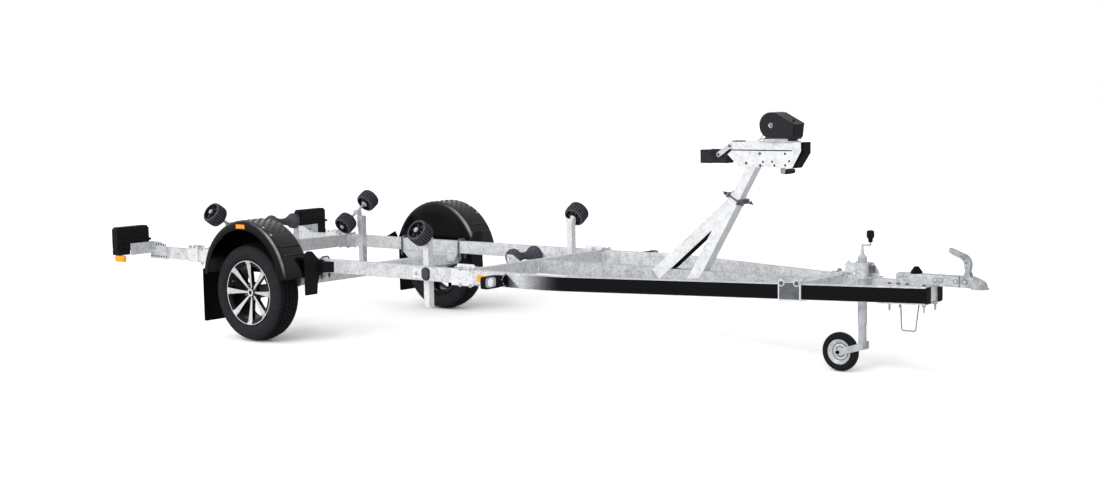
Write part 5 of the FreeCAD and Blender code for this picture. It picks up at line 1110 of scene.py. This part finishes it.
# the web's rings and the hub disc take the dark plate as painted shade of the dish and the hub's hollow
lathe(bm, [(-1, 48), (1.6, 46), (1.6, 43), (-1, 41)], web, (0, -1, 0), 40, slot=1)
lathe(bm, [(-0.5, 30), (1.5, 28), (1.5, 25), (-0.5, 23)], web, (0, -1, 0), 32, slot=1)
disc(bm, (x, jockey["hubY"], z), (0, -1, 0), 13, 0.8, 1, 24)
addPiece("jockeyRimFaceWithPaintedShade", bm, "jockey_wheel", [rimSteel, darkPlatedAndShade])
bm = bmesh.new()
# the pin's end is unlit black, a dark spot of painted shade in the hub
lathe(bm, [(0, 9.8), (5.5, 9.8), (6.6, 8.6), (6.6, 0)], (x, jockey["pinY"], z), (0, -1, 0), 20)
addPiece("jockeyPinEndInPaintedShade", bm, "jockey_leg", [boreShadow])
print("jockey wheel")


# Floor, light and camera: the camera sees a white floor, and the object a plain pale one
studio = {
    "floorHalf": 40, "floorWhite": "#F4F4F5", "seenFloor": 1.9,
    "sky": 0.33, "front": 3.3,      # strength all round, and what is added towards the near side
    "strip": 0.11, "stripAngle": 9,
}

material, tree = startMaterial("studioFloor")
path = addNode(tree, "LightPath")
plain = addNode(tree, "BsdfDiffuse", {"Color": linearColour(studio["floorWhite"])})
seen = addNode(tree, "BsdfDiffuse", {"Color": [studio["seenFloor"]] * 3 + [1]})
mixed = addNode(tree, "MixShader", {0: path.outputs["Is Camera Ray"], 1: plain, 2: seen})
addNode(tree, "OutputMaterial", {"Surface": mixed})

bm = bmesh.new()
edge = studio["floorHalf"]
corners = ((-edge, -edge), (edge, -edge), (edge, edge), (-edge, edge))
bm.faces.new([bm.verts.new((x, y, -0.0005)) for x, y in corners])
floorMesh = bpy.data.meshes.new("studioFloor")
bm.to_mesh(floorMesh)
bm.free()
floorMesh.materials.append(material)
floor = bpy.data.objects.new("studioFloor", floorMesh)
bpy.context.scene.collection.objects.link(floor)

world = bpy.data.worlds.new("studioWorld")
bpy.context.scene.world = world
world.use_nodes = True
tree = world.node_tree
tree.nodes.clear()
path = addNode(tree, "LightPath")
seen = addNode(tree, "Math", {"operation": "MAXIMUM", 0: path.outputs["Is Camera Ray"],
                              1: path.outputs["Is Glossy Ray"]})
seen = addNode(tree, "Math", {"operation": "MAXIMUM", 0: seen, 1: path.outputs["Is Transmission Ray"]})
direction = addNode(tree, "SeparateXYZ", {"Vector": addNode(tree, "TexCoord").outputs["Generated"]})
toFront = addNode(tree, "Math", {"operation": "MULTIPLY", "use_clamp": True, 0: direction.outputs["Y"],
                                 1: -1})
lobe = addNode(tree, "Math", {"operation": "POWER", 0: toFront, 1: 4})
glow = addNode(tree, "MapRange", {"Value": lobe, "To Min": studio["sky"],
                                  "To Max": studio["sky"] + studio["front"]})
level = addNode(tree, "Mix", {0: seen, 2: glow, 3: 1})
sky = addNode(tree, "Background", {"Color": (1, 1, 1, 1), "Strength": level})
addNode(tree, "OutputWorld", {"Surface": sky})

# A long strip light above the near side, as a row of lamps: its streak runs along the fender's round edge
stripLight = [(0.601, -0.749, 0.273), (0.415, -0.697, 0.585), (0.13, -0.596, 0.793), (-0.199, -0.455, 0.868),
              (-0.511, -0.281, 0.812)]
for k, (x, y, z) in enumerate(stripLight):
    light = bpy.data.lights.new("stripLight_%d" % (k + 1), "SUN")
    light.energy = studio["strip"]
    light.angle = radians(studio["stripAngle"])
    lamp = bpy.data.objects.new(light.name, light)
    lamp.rotation_euler = Vector((-x, -y, -z)).to_track_quat("-Z", "Y").to_euler()
    bpy.context.scene.collection.objects.link(lamp)

cameraView = {"x": 6.139, "y": -7.443, "z": 1.533, "yaw": 39.0, "pitch": 5.505, "roll": -1.063, "lens": 54.0}
yaw, pitch, roll = (radians(cameraView[k]) for k in ("yaw", "pitch", "roll"))
ahead = Vector((-sin(yaw) * cos(pitch), cos(yaw) * cos(pitch), -sin(pitch)))
level = Vector((cos(yaw), sin(yaw), 0))
above = level.cross(ahead)
right = level * cos(roll) + above * sin(roll)
up = above * cos(roll) - level * sin(roll)
lens = bpy.data.cameras.new("photoCamera")
lens.lens = cameraView["lens"]
lens.sensor_width = 36
lens.clip_end = 200
camera = bpy.data.objects.new("photoCamera", lens)
camera.matrix_world = Matrix((
    (right.x, up.x, -ahead.x, cameraView["x"]),
    (right.y, up.y, -ahead.y, cameraView["y"]),
    (right.z, up.z, -ahead.z, cameraView["z"]),
    (0, 0, 0, 1)))
bpy.context.scene.collection.objects.link(camera)
bpy.context.scene.camera = camera
bpy.context.scene.view_settings.view_transform = "Standard"
print("studio and camera")
